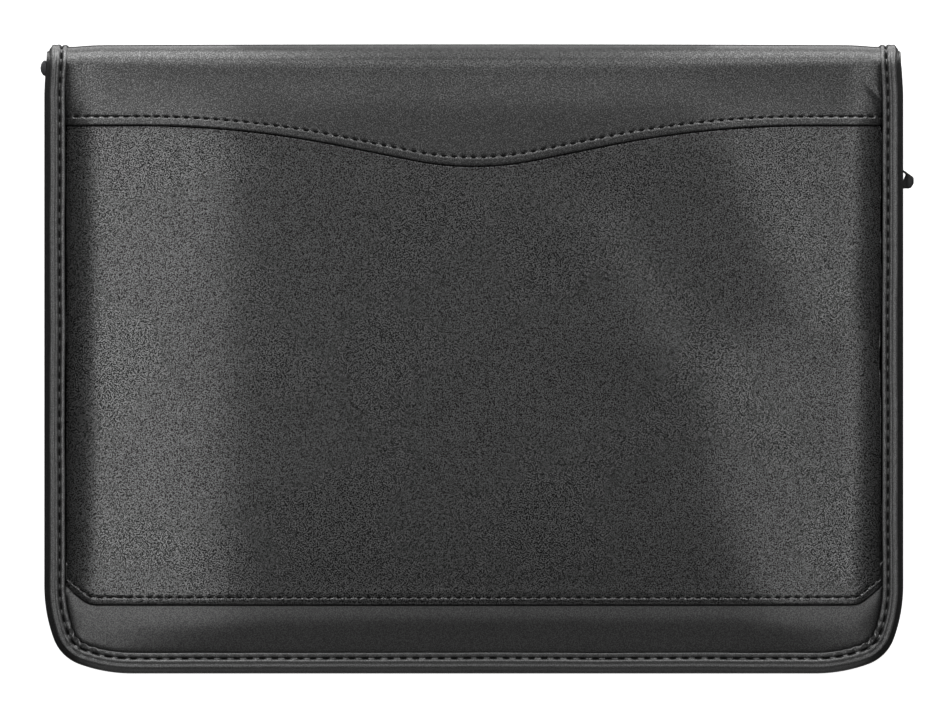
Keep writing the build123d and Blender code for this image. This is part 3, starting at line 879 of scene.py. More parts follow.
@dataclass(frozen=True)
class ItemsOnLine:
    """One small shape repeated along a line by Geometry Nodes, such as stitches or coil turns."""

    name: str
    pitch: float
    length: float
    width: float
    height: float
    turn: float = 0.0
    seed: int = 1

    def tree(self) -> Tree:
        """The tree that all such rows share, made on first use."""
        found = bpy.data.node_groups.get("items_on_line")
        if found:
            return found
        tree = bpy.data.node_groups.new("items_on_line", "GeometryNodeTree")
        sizes = {label: "Float" for label in ("Pitch", "Length", "Width", "Height", "Turn")}
        for label, kind in {"Line": "Geometry", **sizes, "Seed": "Int", "Finish": "Material"}.items():
            tree.interface.new_socket(label, in_out="INPUT", socket_type=f"NodeSocket{kind}")
        tree.interface.new_socket("Items", in_out="OUTPUT", socket_type="NodeSocketGeometry")
        given = add_node(tree, "NodeGroupInput").outputs
        line = add_node(tree, "GeometryNodeMeshToCurve", {"Mesh": given["Line"]})
        spots = add_node(
            tree, "GeometryNodeResampleCurve", {"Curve": line, "Length": given["Pitch"]}, mode="LENGTH"
        )
        tangent = add_node(tree, "GeometryNodeInputTangent")
        up = add_node(tree, "GeometryNodeInputNamedAttribute", {"Name": "up"}, data_type="FLOAT_VECTOR")
        aim = add_node(
            tree, "FunctionNodeAxesToRotation", {0: tangent, 1: up}, primary_axis="X", secondary_axis="Z"
        )
        low_turn = add_node(tree, MATH, {0: given["Turn"], 1: -1.0}, operation="MULTIPLY")
        # Inputs 2 and 3 and output 1 of a Random Value node are its floats.
        stray = add_node(
            tree, "FunctionNodeRandomValue", {2: low_turn, 3: given["Turn"], "Seed": given["Seed"]},
            data_type="FLOAT",
        )
        about = add_node(tree, "ShaderNodeCombineXYZ", {2: stray.outputs[1]})
        twist = add_node(tree, "FunctionNodeRotateRotation", {0: aim, 1: about}, rotation_space="LOCAL")
        bead = add_node(tree, "GeometryNodeMeshUVSphere", {"Segments": 8, "Rings": 5, "Radius": 0.5})
        smooth = add_node(tree, "GeometryNodeSetShadeSmooth", {0: bead.outputs["Mesh"]})
        size = add_node(
            tree, "ShaderNodeCombineXYZ", {0: given["Length"], 1: given["Width"], 2: given["Height"]}
        )
        set_out = add_node(
            tree, "GeometryNodeInstanceOnPoints",
            {"Points": spots, "Instance": smooth, "Rotation": twist, "Scale": size},
        )
        real = add_node(tree, "GeometryNodeRealizeInstances", {0: set_out})
        dressed = add_node(tree, "GeometryNodeSetMaterial", {"Geometry": real, "Material": given["Finish"]})
        add_node(tree, "NodeGroupOutput", {0: dressed})
        return tree

    def even_pitch(self, length: float) -> float:
        """The pitch nearest to the wanted one that divides a length evenly."""
        return length / max(1, round(length / self.pitch))

    def build(self, lines: Sequence[tuple[Array, Array]], finish: Finish) -> Piece:
        """Set the items out along some lines.

        Args:
            lines: points along each line, and the way that the items' tops face at each.
            finish: what the items are made of.

        Returns:
            One plain mesh object with all the items.
        """
        points = np.vstack([line for line, _ in lines])
        tops = np.vstack([np.broadcast_to(up, line.shape) for line, up in lines])
        edges, start = [], 0
        for line, _ in lines:
            edges += [(start + place, start + place + 1) for place in range(len(line) - 1)]
            start += len(line)
        mesh = bpy.data.meshes.new(f"{self.name}_line")
        mesh.from_pydata((points * MM).tolist(), edges, [])
        mesh.attributes.new("up", "FLOAT_VECTOR", "POINT").data.foreach_set("vector", tops.ravel())
        guide = in_scene(f"{self.name}_line", mesh)
        tree = self.tree()
        # A hair under the even pitch, so that rounding never loses the last item.
        shy = 0.9999
        values = {
            "Pitch": self.even_pitch(length_along(lines[0][0])[-1]) * MM * shy, "Length": self.length * MM,
            "Width": self.width * MM, "Height": self.height * MM, "Turn": self.turn, "Seed": self.seed,
            "Finish": finish.material(),
        }
        maker = guide.modifiers.new("items", "NODES")
        maker.node_group = tree
        for item in tree.interface.items_tree:
            if item.in_out == "INPUT" and item.name in values:
                maker[item.identifier] = values[item.name]
        graph = bpy.context.evaluated_depsgraph_get()
        made = bpy.data.meshes.new_from_object(guide.evaluated_get(graph))
        bpy.data.objects.remove(guide)
        made.name = self.name
        if not made.materials:
            made.materials.append(finish.material())
        return in_scene(self.name, made)


@dataclass(frozen=True)
class PaddedSwell:
    """Swell of padded leather held down round its border, from a cloth simulation of a coarse sheet."""

    low: tuple[float, float]
    high: tuple[float, float]
    cell: float = 6.0
    cap: float = 3.2
    pressure: float = 4.0
    frames: int = 20

    def simulate(self) -> tuple[Array, Array, Array]:
        """Blow up a coarse sheet that is held round its border, and take its heights.

        Returns:
            Places along the spine, places across the cover, and the swell there from 0 to 1.
        """
        x, y = (np.linspace(a, b, round((b - a) / self.cell) + 1) for a, b in zip(self.low, self.high))
        index = np.arange(len(x) * len(y)).reshape(len(x), len(y))
        faces = np.stack(
            [index[:-1, :-1], index[1:, :-1], index[1:, 1:], index[:-1, 1:]], axis=-1
        ).reshape(-1, 4)
        spots = in_space(x[:, None], y[None, :], 0.0).reshape(-1, 3)
        mesh = bpy.data.meshes.new("swell")
        mesh.from_pydata((spots * MM).tolist(), [], faces.tolist())
        sheet = in_scene("swell", mesh)
        border = np.unique(np.concatenate([index[0], index[-1], index[:, 0], index[:, -1]]))
        sheet.vertex_groups.new(name="held").add(border.tolist(), 1.0, "REPLACE")
        settings = sheet.modifiers.new("cloth", "CLOTH").settings
        settings.vertex_group_mass = "held"
        settings.use_pressure = True
        settings.uniform_pressure_force = self.pressure
        settings.effector_weights.gravity = 0.0
        scene = bpy.context.scene
        for moment in range(1, self.frames + 1):
            scene.frame_set(moment)
        blown = sheet.evaluated_get(bpy.context.evaluated_depsgraph_get()).data
        spots = np.empty(len(blown.vertices) * 3)
        blown.vertices.foreach_get("co", spots)
        height = spots[2::3].reshape(len(x), len(y)) / MM
        bpy.data.objects.remove(sheet)
        scene.frame_set(1)
        return x, y, np.round(np.tanh(height / self.cap), 3)

    def spread(self) -> Surface:
        """The swell at any place, smooth between the sheet's points."""
        x, y, swell = self.simulate()

        def weight(gap: Array) -> Array:
            """Share of a sheet's point at a distance counted in cells."""
            near = 2 / 3 - gap**2 + np.abs(gap) ** 3 / 2
            return np.where(np.abs(gap) < 1, near, (2 - np.abs(gap)) ** 3 / 6)

        def at(px: Array, py: Array) -> Array:
            """The swell at some places."""
            px, py = np.broadcast_arrays(px, py)
            u = np.clip((px - x[0]) / (x[1] - x[0]), 0, len(x) - 1)
            v = np.clip((py - y[0]) / (y[1] - y[0]), 0, len(y) - 1)
            total = np.zeros(u.shape)
            for right in range(-1, 3):
                for up in range(-1, 3):
                    i, j = np.floor(u).astype(int) + right, np.floor(v).astype(int) + up
                    share = weight(u - i) * weight(v - j)
                    total += share * swell[np.clip(i, 0, len(x) - 1), np.clip(j, 0, len(y) - 1)]
            return total

        return at


@dataclass
class LeatherCovers:
    """The leather of both covers, folds and spine."""

    under_binding: float = 7.6
    binding_crease: float = 8.6
    roll_run: float = 16.0
    roll_drop: float = 1.7
    tuck_drop: float = 0.6
    tuck_run: float = 0.8
    lowest: float = 4.4
    spine_lowest: float = 0.6
    crown: float = 2.4
    swell_height: float = 0.7
    # Slack of the main panel: leans past a left bend and two right ones, and a shallow slanting fold.
    bend_soft: float = 5.0
    left_bend: float = 98.0
    left_lean: float = 0.060
    upper_bend: float = 143.0
    upper_slant: float = 0.5
    lower_bend: float = 93.0
    lower_hollow: float = 0.0045
    lower_middle: float = -25.0
    right_lean: float = 0.078
    right_relax: float = 0.00026
    fold_place: float = 84.0
    fold_slant: float = 0.47
    fold_rise: float = 1.1
    fold_drop: float = 1.2
    deepest_lean: float = 4.8
    crease_place: tuple[float, float] = (166.6, 111.1)
    crease_way: tuple[float, float] = (0.779, 0.627)
    sheet: float = 1.1
    main_depth: float = 0.9
    hem_depth: float = 1.8
    wave_shoulder: float = 96.6
    wave_dip: float = 16.9
    wave_slope: float = math.radians(11.3)
    wave_dip_radius: float = 128.0
    wave_shoulder_radius: float = 424.0
    hem_line: float = -102.0
    hem_end_start: float = 159.7
    hem_end_slope: float = 0.79
    overlap: float = 10.0
    spine_bow: float = 0.5
    stitch_offset: float = 3.5
    stitch_sink: float = 0.50
    seam_end: float = 8.9
    hem_squeeze: float = 0.82
    stitch: ItemsOnLine = ItemsOnLine("stitch", 4.15, 2.35, 0.72, 0.5, turn=0.06, seed=4)
    column_step: float = 0.69
    row_step: float = 2.4
    fold_rows_count: int = 16
    spine_rows_count: int = 4
    # The turned edge of a panel: distance from the fold, and rise above the panel's face.
    turned_edge: Section = (
        (3.0, -1.10), (0.9, -1.10), (0.3, -0.98), (0.04, -0.68), (0.0, -0.42), (0.09, -0.18), (0.3, -0.02),
        (0.7, 0.08), (1.4, 0.13), (2.0, 0.18), (2.5, 0.22), (2.8, 0.20), (3.05, 0.10), (3.3, 0.03),
        (3.5, 0.01), (3.7, 0.0), (3.95, 0.0), (4.3, 0.02), (5.2, 0.06), (6.4, 0.06), (8.0, 0.02), (10.0, 0.0),
    )
    edge_under_rows: int = 5
    # Rows of a panel round the line where another panel's fold lies on it.
    pressed_rows: tuple[float, ...] = (-3.0, -1.8, -1.1, -0.75, -0.5, -0.3, -0.1, 0.1, 0.35, 0.8, 2.0, 5.0)

    @cached_property
    def swell(self) -> Surface:
        """Swell of the padding under the main panel, blown up on first use."""
        reach, start = CASE.half_width - self.binding_crease, CASE.zip_y + self.binding_crease
        return PaddedSwell((-reach, start), (reach, CASE.hinge_y)).spread()

    def pressed(self, past: Array) -> Array:
        """Groove that a fold presses into the panel below it, by distance past the fold."""
        return 0.55 * bump(past, 0.15, 0.5) + 0.25 * bump(past, -0.2, 2.4)

    def wave_line(self, x: Array) -> Array:
        """Y of the yoke's curved lower fold at each place along the spine."""
        x = np.abs(x)
        bottom = self.wave_shoulder - self.wave_dip
        dip, crown = self.wave_dip_radius, self.wave_shoulder_radius
        slope, rise = math.tan(self.wave_slope), 1 - math.cos(self.wave_slope)
        first_x, first_y = dip * math.sin(self.wave_slope), bottom + dip * rise
        last_y = self.wave_shoulder - crown * rise
        last_x = first_x + (last_y - first_y) / slope
        crown_x = last_x + crown * math.sin(self.wave_slope)
        in_dip = bottom + dip - np.sqrt(np.maximum(dip**2 - x**2, 0))
        on_slope = first_y + (x - first_x) * slope
        on_crown = self.wave_shoulder - crown + np.sqrt(np.maximum(crown**2 - (x - crown_x) ** 2, 0))
        line = np.where(x < first_x, in_dip, np.where(x < last_x, on_slope, on_crown))
        return np.where(x > crown_x, self.wave_shoulder, line)

    def hem_fold(self, x: Array) -> Array:
        """Y of the main panel's lower fold, which rises at both ends."""
        soft = 1.0
        past = (np.abs(x) - self.hem_end_start) / soft
        return self.hem_line + self.hem_end_slope * soft * np.logaddexp(0, past)

    def roll(self, inset: Array) -> Array:
        """Drop of a panel's face beside the binding, where it is pulled down and tucked in."""
        past = inset - self.binding_crease
        broad = self.roll_drop * np.clip(1 - past / self.roll_run, 0, 1.1) ** 2
        tuck = self.tuck_drop * np.exp(-np.maximum(past, -1.0) / self.tuck_run)
        return broad + tuck

    def slack(self, x: Array, y: Array) -> Array:
        """Slow rise and fall of the main panel over its padding."""
        beyond = lambda past: self.bend_soft * np.logaddexp(0, past / self.bend_soft)
        left = -self.left_lean * beyond(-x - self.left_bend)
        # On the right the leather leans away from two bends: a slanting one in the upper half, and a
        # hollow one in the lower half, which runs on upwards as a shallow fold.
        upper = beyond(x - self.upper_bend + self.upper_slant * y)
        lower = beyond(x - self.lower_bend - self.lower_hollow * (y - self.lower_middle) ** 2)
        share = ease((y + 8.0) / 44.0)
        both = share * upper + (1 - share) * lower
        right = -self.right_lean * both + self.right_relax * both**2
        past = x - self.fold_place + self.fold_slant * y
        fold = self.fold_rise * ease((past + 76.0) / 58.0) - self.fold_drop * (1 + np.tanh(past / 15.0))
        lean = left + right + fold * ease((y + 24.0) / 40.0) * ease((88.0 - y) / 36.0)
        lean = lean / (1 + (lean / self.deepest_lean) ** 6) ** (1 / 6)
        padding = self.crown + self.swell_height * self.swell(x, y)
        return padding + lean + 0.07 * soft_waves(x, y, 95.0, 11)

    def stitch_dents(self, turns: Array, offset: Array) -> Array:
        """Puckers where the needle holes pull the leather down, by stitches counted along the seam."""
        dash = ease((np.cos(2 * math.pi * turns) + 0.3) / 0.4)
        return -0.65 * dash * bump(offset, self.stitch_offset, 0.40) + 0.06 * dash * bump(offset, 2.5, 0.5)

    def seam(self, line: Curve, squeeze: float) -> tuple[Array, Array, Array]:
        """Stretch and stitches of a turned seam.

        Args:
            line: Y of the fold at each place along the spine.
            squeeze: how close the stitches lie to the fold, 1 for the usual offset.

        Returns:
            Places along the spine, stretch of distances from the fold, and stitches counted from the first.
        """
        limit = CASE.half_width - self.seam_end
        x = np.linspace(-limit, limit, 1400)
        stretch = squeeze * np.sqrt(1 + np.gradient(line(x), x) ** 2)
        y = line(x) + self.stitch_offset * stretch
        along = length_along(np.column_stack([x, y]))
        return x, stretch, along / self.stitch.even_pitch(along[-1])

    def edge_rows(
        self, x: Array, line: Curve, finish_y: Array, close: Sequence[float] = (0.0,), squeeze: float = 1.0
    ) -> tuple[Array, Array]:
        """Rows of a panel from under its turned edge to its far side.

        Args:
            x: places of the columns.
            line: Y of the fold at each place.
            finish_y: Y of the far side in each column.
            close: extra rows, by their distance past the far side.
            squeeze: how close the stitches lie to the fold.

        Returns:
            Y and rise by columns and rows.
        """
        seam_x, stretch, turns = self.seam(line, squeeze)
        stretch_at = np.interp(x, seam_x, stretch)[:, None]
        offsets, rises = np.array(self.turned_edge).T
        near = line(x)[:, None] + offsets[None, :] * stretch_at
        last = finish_y[:, None] + np.array([close])
        count = max(3, int(np.max(last[:, 0] - near[:, -1]) / self.row_step))
        share = np.linspace(0, 1, count + 1)[1:-1]
        far = np.hstack([near[:, -1:] + (last[:, :1] - near[:, -1:]) * share, last])
        rise = np.broadcast_to(rises, near.shape).copy()
        dents = self.stitch_dents(np.interp(x, seam_x, turns)[:, None], offsets[None, :])
        dents[:, :self.edge_under_rows] = 0.0
        rise += dents
        return np.hstack([near, far]), np.hstack([rise, np.zeros_like(far)])

    def seam_stitches(self, name: str, line: Curve, depth: Surface, squeeze: float = 1.0) -> Piece:
        """Row of stitches along a turned seam.

        Args:
            name: name of the piece.
            line: Y of the fold.
            depth: depth of the leather's face at each stitch.
            squeeze: how close the stitches lie to the fold.

        Returns:
            The stitches as one object.
        """
        x, stretch, turns = self.seam(line, squeeze)
        y = line(x) + self.stitch_offset * stretch
        points = CASE.place(Side.FRONT, x, y, depth(x, y))
        row = replace(self.stitch, name=name, pitch=length_along(points)[-1] / turns[-1])
        return row.build([(points, np.array((0.0, 0.0, 1.0)))], THREAD)

    def main_panel(self) -> None:
        """The padded main panel, from the hem seam to under the yoke."""
        x = OUTLINE.columns(self.under_binding, self.column_step)
        finish_y = self.wave_line(x) + self.overlap
        close = [row - self.overlap for row in self.pressed_rows] + [0.0]
        y, rise = self.edge_rows(x, self.hem_fold, finish_y, close, self.hem_squeeze)
        press = lambda px, py: self.pressed(py - self.wave_line(px))
        edge = lambda px: self.roll(CASE.half_width - np.abs(px))
        face = lambda px, py: self.slack(px, py) - edge(px) - press(px, py)
        rise = rise + face(x[:, None], y)
        under_y = finish_y[:, None] - np.array([[0.0, 40.0, 120.0]])
        under_y[:, 2] = np.maximum(under_y[:, 2], y[:, 0] + 5.0)
        under_rise = face(x[:, None], under_y) - self.sheet
        depth = np.minimum(self.main_depth - np.hstack([under_rise, rise]), self.lowest)
        loops = CASE.place(Side.FRONT, x[:, None], np.hstack([under_y, y]), depth)
        piece = make_piece("front_main_leather", loft(loops), LEATHER)
        fit(piece, ["front_main_panel", "front_foam"], body=Side.FRONT.body)
        depth = lambda px, py: self.main_depth - face(px, py) + self.stitch_sink
        stitches = self.seam_stitches("hem_seam_stitches", self.hem_fold, depth, self.hem_squeeze)
        fit(stitches, [], body=Side.FRONT.body)

    def hem_panel(self) -> None:
        """The strip below the main panel, tucked under its fold."""
        x = OUTLINE.columns(self.under_binding, self.column_step * 2)
        start_y = OUTLINE.front_edge(x, self.under_binding)
        finish_y = self.hem_fold(x) + self.overlap
        fold = self.hem_fold(x)[:, None]
        rows = [self.rows_from_edge(start_y, finish_y), fold + np.array([self.pressed_rows])]
        y = np.sort(np.hstack(rows), axis=1)
        depth = self.hem_depth + 0.5 * self.roll(OUTLINE.inset_of(x[:, None], y))
        press = self.pressed(y - fold)
        swell = 0.22 * bump(y - fold, -8.0, 5.0) * ease((fold - y) / 4.0)
        slack = self.slack(x[:, None], np.maximum(y, fold)) * ease((y - fold + 34.0) / 30.0)
        ripple = 0.06 * soft_waves(x[:, None], y, 60.0, 23) * ease((fold - y) / 4.0)
        depth = np.minimum(depth + press - swell - slack - ripple, self.lowest)
        rows, last = (y, depth, np.zeros_like(y), np.zeros_like(y)), y.shape[1] - 1
        picks = [last, (last + 1) // 2, 12, 4, 0]
        piece = self.close_sheet("front_hem_leather", Side.FRONT, x, rows, picks, HEM_LEATHER)
        fit(piece, ["front_hem_panel"], body=Side.FRONT.body)

    def rows_from_edge(self, start_y: Array, finish_y: Array) -> Array:
        """Rows of a panel that is closely divided beside the binding."""
        near = np.array([0.0, 0.3, 0.6, 0.9, 1.2, 1.6, 2.1, 2.7, 3.4, 4.4, 5.6, 7.0, 8.8, 11.0])
        gap = (finish_y - start_y)[:, None]
        near = np.minimum(near[None, :], gap * np.linspace(0, 0.8, len(near))[None, :])
        count = max(3, int(np.max(gap[:, 0] - near[:, -1]) / self.row_step))
        share = np.linspace(0, 1, count + 1)[1:]
        far = near[:, -1:] + (gap - near[:, -1:]) * share
        return start_y[:, None] + np.hstack([near, far])

    def close_sheet(
        self, name: str, side: Side, x: Array, rows: Sequence[Array], picks: Sequence[int], finish: Finish
    ) -> Piece:
        """Make a closed sheet of leather from its outer face.

        Args:
            name: name of the piece.
            side: which cover.
            x: places of the columns.
            rows: Y, depth, turn and run by columns and rows.
            picks: rows that its inner face has too.
            finish: what it is made of.

        Returns:
            The sheet.
        """
        inner = [part[:, picks] for part in rows]
        inner[1] = inner[1] + self.sheet
        loops = CASE.place(side, x[:, None], *(np.hstack(pair) for pair in zip(inner, rows)))
        return make_piece(name, loft(loops), finish)

    def fold_rows(self, y: Array, rise: Array) -> tuple[Array, Array, Array, Array]:
        """Carry a panel's rows round its fold and down half the spine.

        Args:
            y: Y by columns and rows, ending at the hinge line.
            rise: rise by columns and rows.

        Returns:
            Y, rise, turn and run by columns and rows.
        """
        turn, run = CASE.past_hinge(self.fold_rows_count, self.spine_rows_count)
        flat, more = y.shape[1], ((0, 0), (0, len(turn)))
        y, rise = np.pad(y, more, constant_values=CASE.hinge_y), np.pad(rise, more)
        turn, run = (np.broadcast_to(np.pad(part, (flat, 0)), y.shape) for part in (turn, run))
        return y, rise, turn, run

    def wrapped(
        self, name: str, side: Side, x: Array, rows: tuple[Array, ...], nodes: Sequence[str], finish: Finish
    ) -> None:
        """Make a closed sheet that wraps from a cover over its fold to the middle of the spine.

        Args:
            name: name of the piece.
            side: which cover.
            x: places of the columns.
            rows: Y, rise, turn and run by columns and rows.
            nodes: CAD nodes that it stands for.
            finish: what it is made of.
        """
        y, rise, turn, run = rows
        rise = np.maximum(rise, -np.where(turn > 0.2, self.spine_lowest, self.lowest))
        bow = self.spine_bow * (x[:, None] / CASE.half_width) ** 2
        y = y - bow * ease((y - CASE.hinge_y + 14.0) / 14.0)
        last = y.shape[1] - 1
        hinge = last - self.fold_rows_count - self.spine_rows_count
        picks = [*range(last, hinge - 1, -1), (last + 1) // 2]
        piece = self.close_sheet(name, side, x, (y, -rise, turn, run), picks, finish)
        fit(piece, nodes, bend=side)

    def yoke(self) -> None:
        """The curved yoke, in one with the front fold and the upper half of the spine."""
        x = OUTLINE.columns(self.under_binding, self.column_step)
        y, rise = self.edge_rows(x, self.wave_line, np.full(len(x), CASE.hinge_y))
        y, rise, turn, run = self.fold_rows(y, rise)
        ripple = lambda px, py: 0.08 * soft_waves(px, py, 70.0, 31)
        sag = lambda px, py: self.slack(px, py) + ripple(px, py) + self.corner_crease(px, py)
        fade = lambda py, past: ease((CASE.hinge_y - py - past + 9.0) / 33.0)
        tight = lambda px, py: 0.62 + 0.38 * bump(py - self.wave_line(px), 0.0, 7.0)
        edge = lambda px, py: self.roll(CASE.half_width - np.abs(px)) * tight(px, py)
        face = lambda px, py, past=0.0: sag(px, py) * fade(py, past) - edge(px, py)
        rise = rise + face(x[:, None], y, CASE.fold_radius * turn + run)
        self.wrapped(
            "front_yoke_leather", Side.FRONT, x, (y, rise, turn, run),
            ["front_yoke", "front_fold_leather", "spine_leather"], YOKE_LEATHER,
        )
        stitches = self.seam_stitches(
            "yoke_seam_stitches", self.wave_line, lambda px, py: self.stitch_sink - face(px, py)
        )
        fit(stitches, [], body=Side.FRONT.body)

    def corner_crease(self, x: Array, y: Array) -> Array:
        """Slanting crease in the yoke's right end, where the leather is drawn into the fold."""
        right, up = x - self.crease_place[0], y - self.crease_place[1]
        along = -self.crease_way[1] * right + self.crease_way[0] * up
        across = self.crease_way[0] * right + self.crease_way[1] * up
        return bump(along, 0.0, 6.5) * (0.16 * bump(across, 0.7, 0.7) - 0.42 * bump(across, -1.0, 1.6))

    def rear_panel(self) -> None:
        """The plain rear panel, in one with the rear fold and the lower half of the spine."""
        x = OUTLINE.columns(self.under_binding, self.column_step * 2)
        start_y = OUTLINE.front_edge(x, self.under_binding)
        y = self.rows_from_edge(start_y, np.full(len(x), CASE.hinge_y))
        rise = -np.minimum(self.roll(OUTLINE.inset_of(x[:, None], y)), 2.9)
        rise = rise - 0.05 - 0.05 * np.abs(soft_waves(x[:, None], y, 80.0, 47))
        flat = y.shape[1]
        y, rise, turn, run = self.fold_rows(y, rise)
        rise[:, flat:] -= self.roll(CASE.half_width - np.abs(x))[:, None]
        self.wrapped(
            "rear_leather_cover", Side.REAR, x, (y, rise, turn, run),
            ["rear_leather", "rear_foam", "rear_fold_leather", "spine_leather"], LEATHER,
        )

    def build(self) -> None:
        """Make all the leather panels and their seams."""
        self.main_panel()
        self.hem_panel()
        self.yoke()
        self.rear_panel()


@dataclass
class EdgeBinding:
    """Leather strip folded round the edge of a cover and sewn through."""

    side: Side
    inner_depth: float
    pitch: float = 5.3
    stitch_inset: float = 6.2
    stitch_sink: float = 1.85
    gather_pitch: float = 4.4
    gather_depth: float = 0.6
    drawn_in: float = 0.8
    drawn_start: float = 108.0
    drawn_run: float = 18.0
    proud: float = 0.7
    proud_start: float = 112.0
    proud_run: float = 10.0
    step: float = 1.05
    corner_step: float = 0.62
    # Section from the crease beside the panel, over the roll and round the edge: inset and depth.
    outer_section: Section = (
        (7.9, 3.6), (8.4, 2.5), (8.42, 1.55), (8.2, 1.12), (7.75, 1.04), (7.3, 1.08), (6.95, 1.17),
        (6.6, 1.5), (6.2, 1.95), (5.75, 1.6), (5.4, 1.1), (4.95, 0.84), (4.5, 0.86), (3.7, 1.04), (3.0, 0.86),
        (2.5, 0.88), (2.05, 1.2), (1.6, 1.95), (1.05, 2.9), (0.45, 3.8), (-0.15, 4.7),
    )
    # The rest of the section, with its depths counted back from the inner leg.
    inner_section: Section = (
        (-0.4, 1.9), (-0.2, 1.0), (0.5, 0.35), (1.3, 0.05), (2.4, 0.0), (3.2, 0.1), (3.6, 0.45), (3.45, 0.85),
        (1.5, 1.0), (1.15, 1.8),
    )
    lining_section: Section = ((1.15, 3.3), (1.9, 2.3), (4.5, 2.15), (6.2, 2.75))

    def section(self) -> Array:
        """The whole closed section: inset and depth."""
        inner = [(inset, self.inner_depth - back) for inset, back in self.inner_section]
        return rounded_line([*self.outer_section, *inner, *self.lining_section], 2, closed=True)

    def build(self) -> None:
        """Make the strip and its stitches."""
        name = f"{self.side}_edge_binding"
        path = EdgePath.around(self.step, self.corner_step, over_fold=True)
        row = ItemsOnLine(f"{self.side}_binding_stitches", self.pitch, 3.5, 0.85, 0.6, turn=0.05, seed=8)
        reach = path.points[:, 1] + CASE.fold_radius * path.turn
        drawn = self.drawn_in * ease((reach - self.drawn_start) / self.drawn_run)
        proud = self.proud * ease((reach - self.proud_start) / self.proud_run)
        spots, above = (
            path.lay(self.side, self.stitch_inset + drawn, sink - proud)
            for sink in (self.stitch_sink, self.stitch_sink - 1.0)
        )
        along = length_along(spots)
        pitch = row.even_pitch(along[-1])
        section = self.section()
        inset, depth = section[:, 0], section[:, 1]
        face = (depth < 3.0) & (inset > 0.3)
        gap = 1 - ease((np.cos(2 * math.pi * along / pitch) + 0.75) / 0.5)
        lift = 0.45 * bump(inset, self.stitch_inset, 0.7) + 0.08 * bump(inset, 7.5, 0.6)
        depth = depth - np.outer(gap, lift * face)
        corner = path.cornering()
        wander = np.cumsum(np.random.default_rng(5).normal(0, 0.05, len(along)))
        gather = np.sin(2 * math.pi * along / self.gather_pitch + wander)
        ruck = bump(inset, 7.4, 1.0) + 0.25 * bump(inset, 4.8, 1.4)
        depth = depth + self.gather_depth * np.outer(corner * gather, ruck * face)
        flatter = 0.65 * np.maximum(depth - 2.3, 0) * (section[:, 1] < 5.0)
        depth = depth - ease(path.turn / 0.6)[:, None] * flatter
        sway = 0.10 * soft_waves(along, np.zeros_like(along), 42.0, 61)
        wrinkle = 0.3 * np.outer(corner * gather, bump(inset, 8.2, 0.6) * face)
        inset = inset + np.outer(sway, face) + wrinkle + drawn[:, None]
        depth = depth - proud[:, None] * (section[:, 1] < 3.0)
        shell = loft(path.lay(self.side, inset, depth), along)
        strip = make_piece(name, shell, STRIP_LEATHER)
        nodes = [f"{self.side}_binding", f"{self.side}_fold_binding", "spine_binding"]
        fit(strip, nodes, bend=self.side)
        stitches = row.build([(spots, above - spots)], THREAD)
        fit(stitches, [], bend=self.side)


@dataclass
class Lining:
    """Nylon lining of a cover and of its half of the spine."""

    side: Side
    sheet: float = 0.6
    inset: float = 2.0
    fold_radius: float = 3.0
    spine_inside: float = 127.0
    step: float = 6.0

    def build(self) -> None:
        """Make the flat lining and the strip that bends into the spine."""
        depth = CASE.lining_depth(self.side)
        x = OUTLINE.columns(self.inset, self.step)
        start = OUTLINE.front_edge(x, self.inset)
        share = np.concatenate([[0.0, 0.004, 0.01, 0.02, 0.04], np.linspace(0.07, 1, 36)])
        y = start[:, None] + (CASE.hinge_y - start)[:, None] * share
        inside = ease((OUTLINE.inset_of(x[:, None], y) - 6.0) / 8.0)
        ripple = 0.08 * soft_waves(x[:, None], y, 50.0, 71) * inside
        inner = depth - np.abs(ripple) * 0.5
        face, back = (CASE.place(self.side, x[:, None], y, level) for level in (inner, depth - self.sheet))
        flat = make_piece(f"{self.side}_lining_cloth", two_faced(face, back), LINING, sharp=50)
        fit(flat, [f"{self.side}_lining"], body=self.side.body)
        self.fold_strip()

    def fold_strip(self) -> None:
        """Make the strip from the hinge line to the middle of the spine."""
        depth, reach = CASE.lining_depth(self.side), 169.0
        x = np.linspace(-reach, reach, 60)[:, None]
        centre_y, centre_depth = self.spine_inside - self.fold_radius, depth + self.fold_radius
        turn = np.linspace(0, math.pi / 2, 9)
        downs = np.linspace(centre_depth, CASE.top / 2, 4)[1:]
        faces = []
        for out in (0.0, self.sheet):
            radius = self.fold_radius + out
            y = [
                [CASE.hinge_y - 1.5], centre_y + radius * np.sin(turn),
                [self.spine_inside + out] * len(downs),
            ]
            down = np.concatenate([[depth - out], centre_depth - radius * np.cos(turn), downs])
            faces.append(CASE.place(self.side, x, np.concatenate(y)[None, :], down[None, :]))
        strip = make_piece(f"{self.side}_spine_lining", two_faced(*faces), LINING, sharp=60)
        fit(strip, [f"{self.side}_fold_lining", "spine_lining"], bend=self.side)
        run = length_along(faces[0][0])[-1]


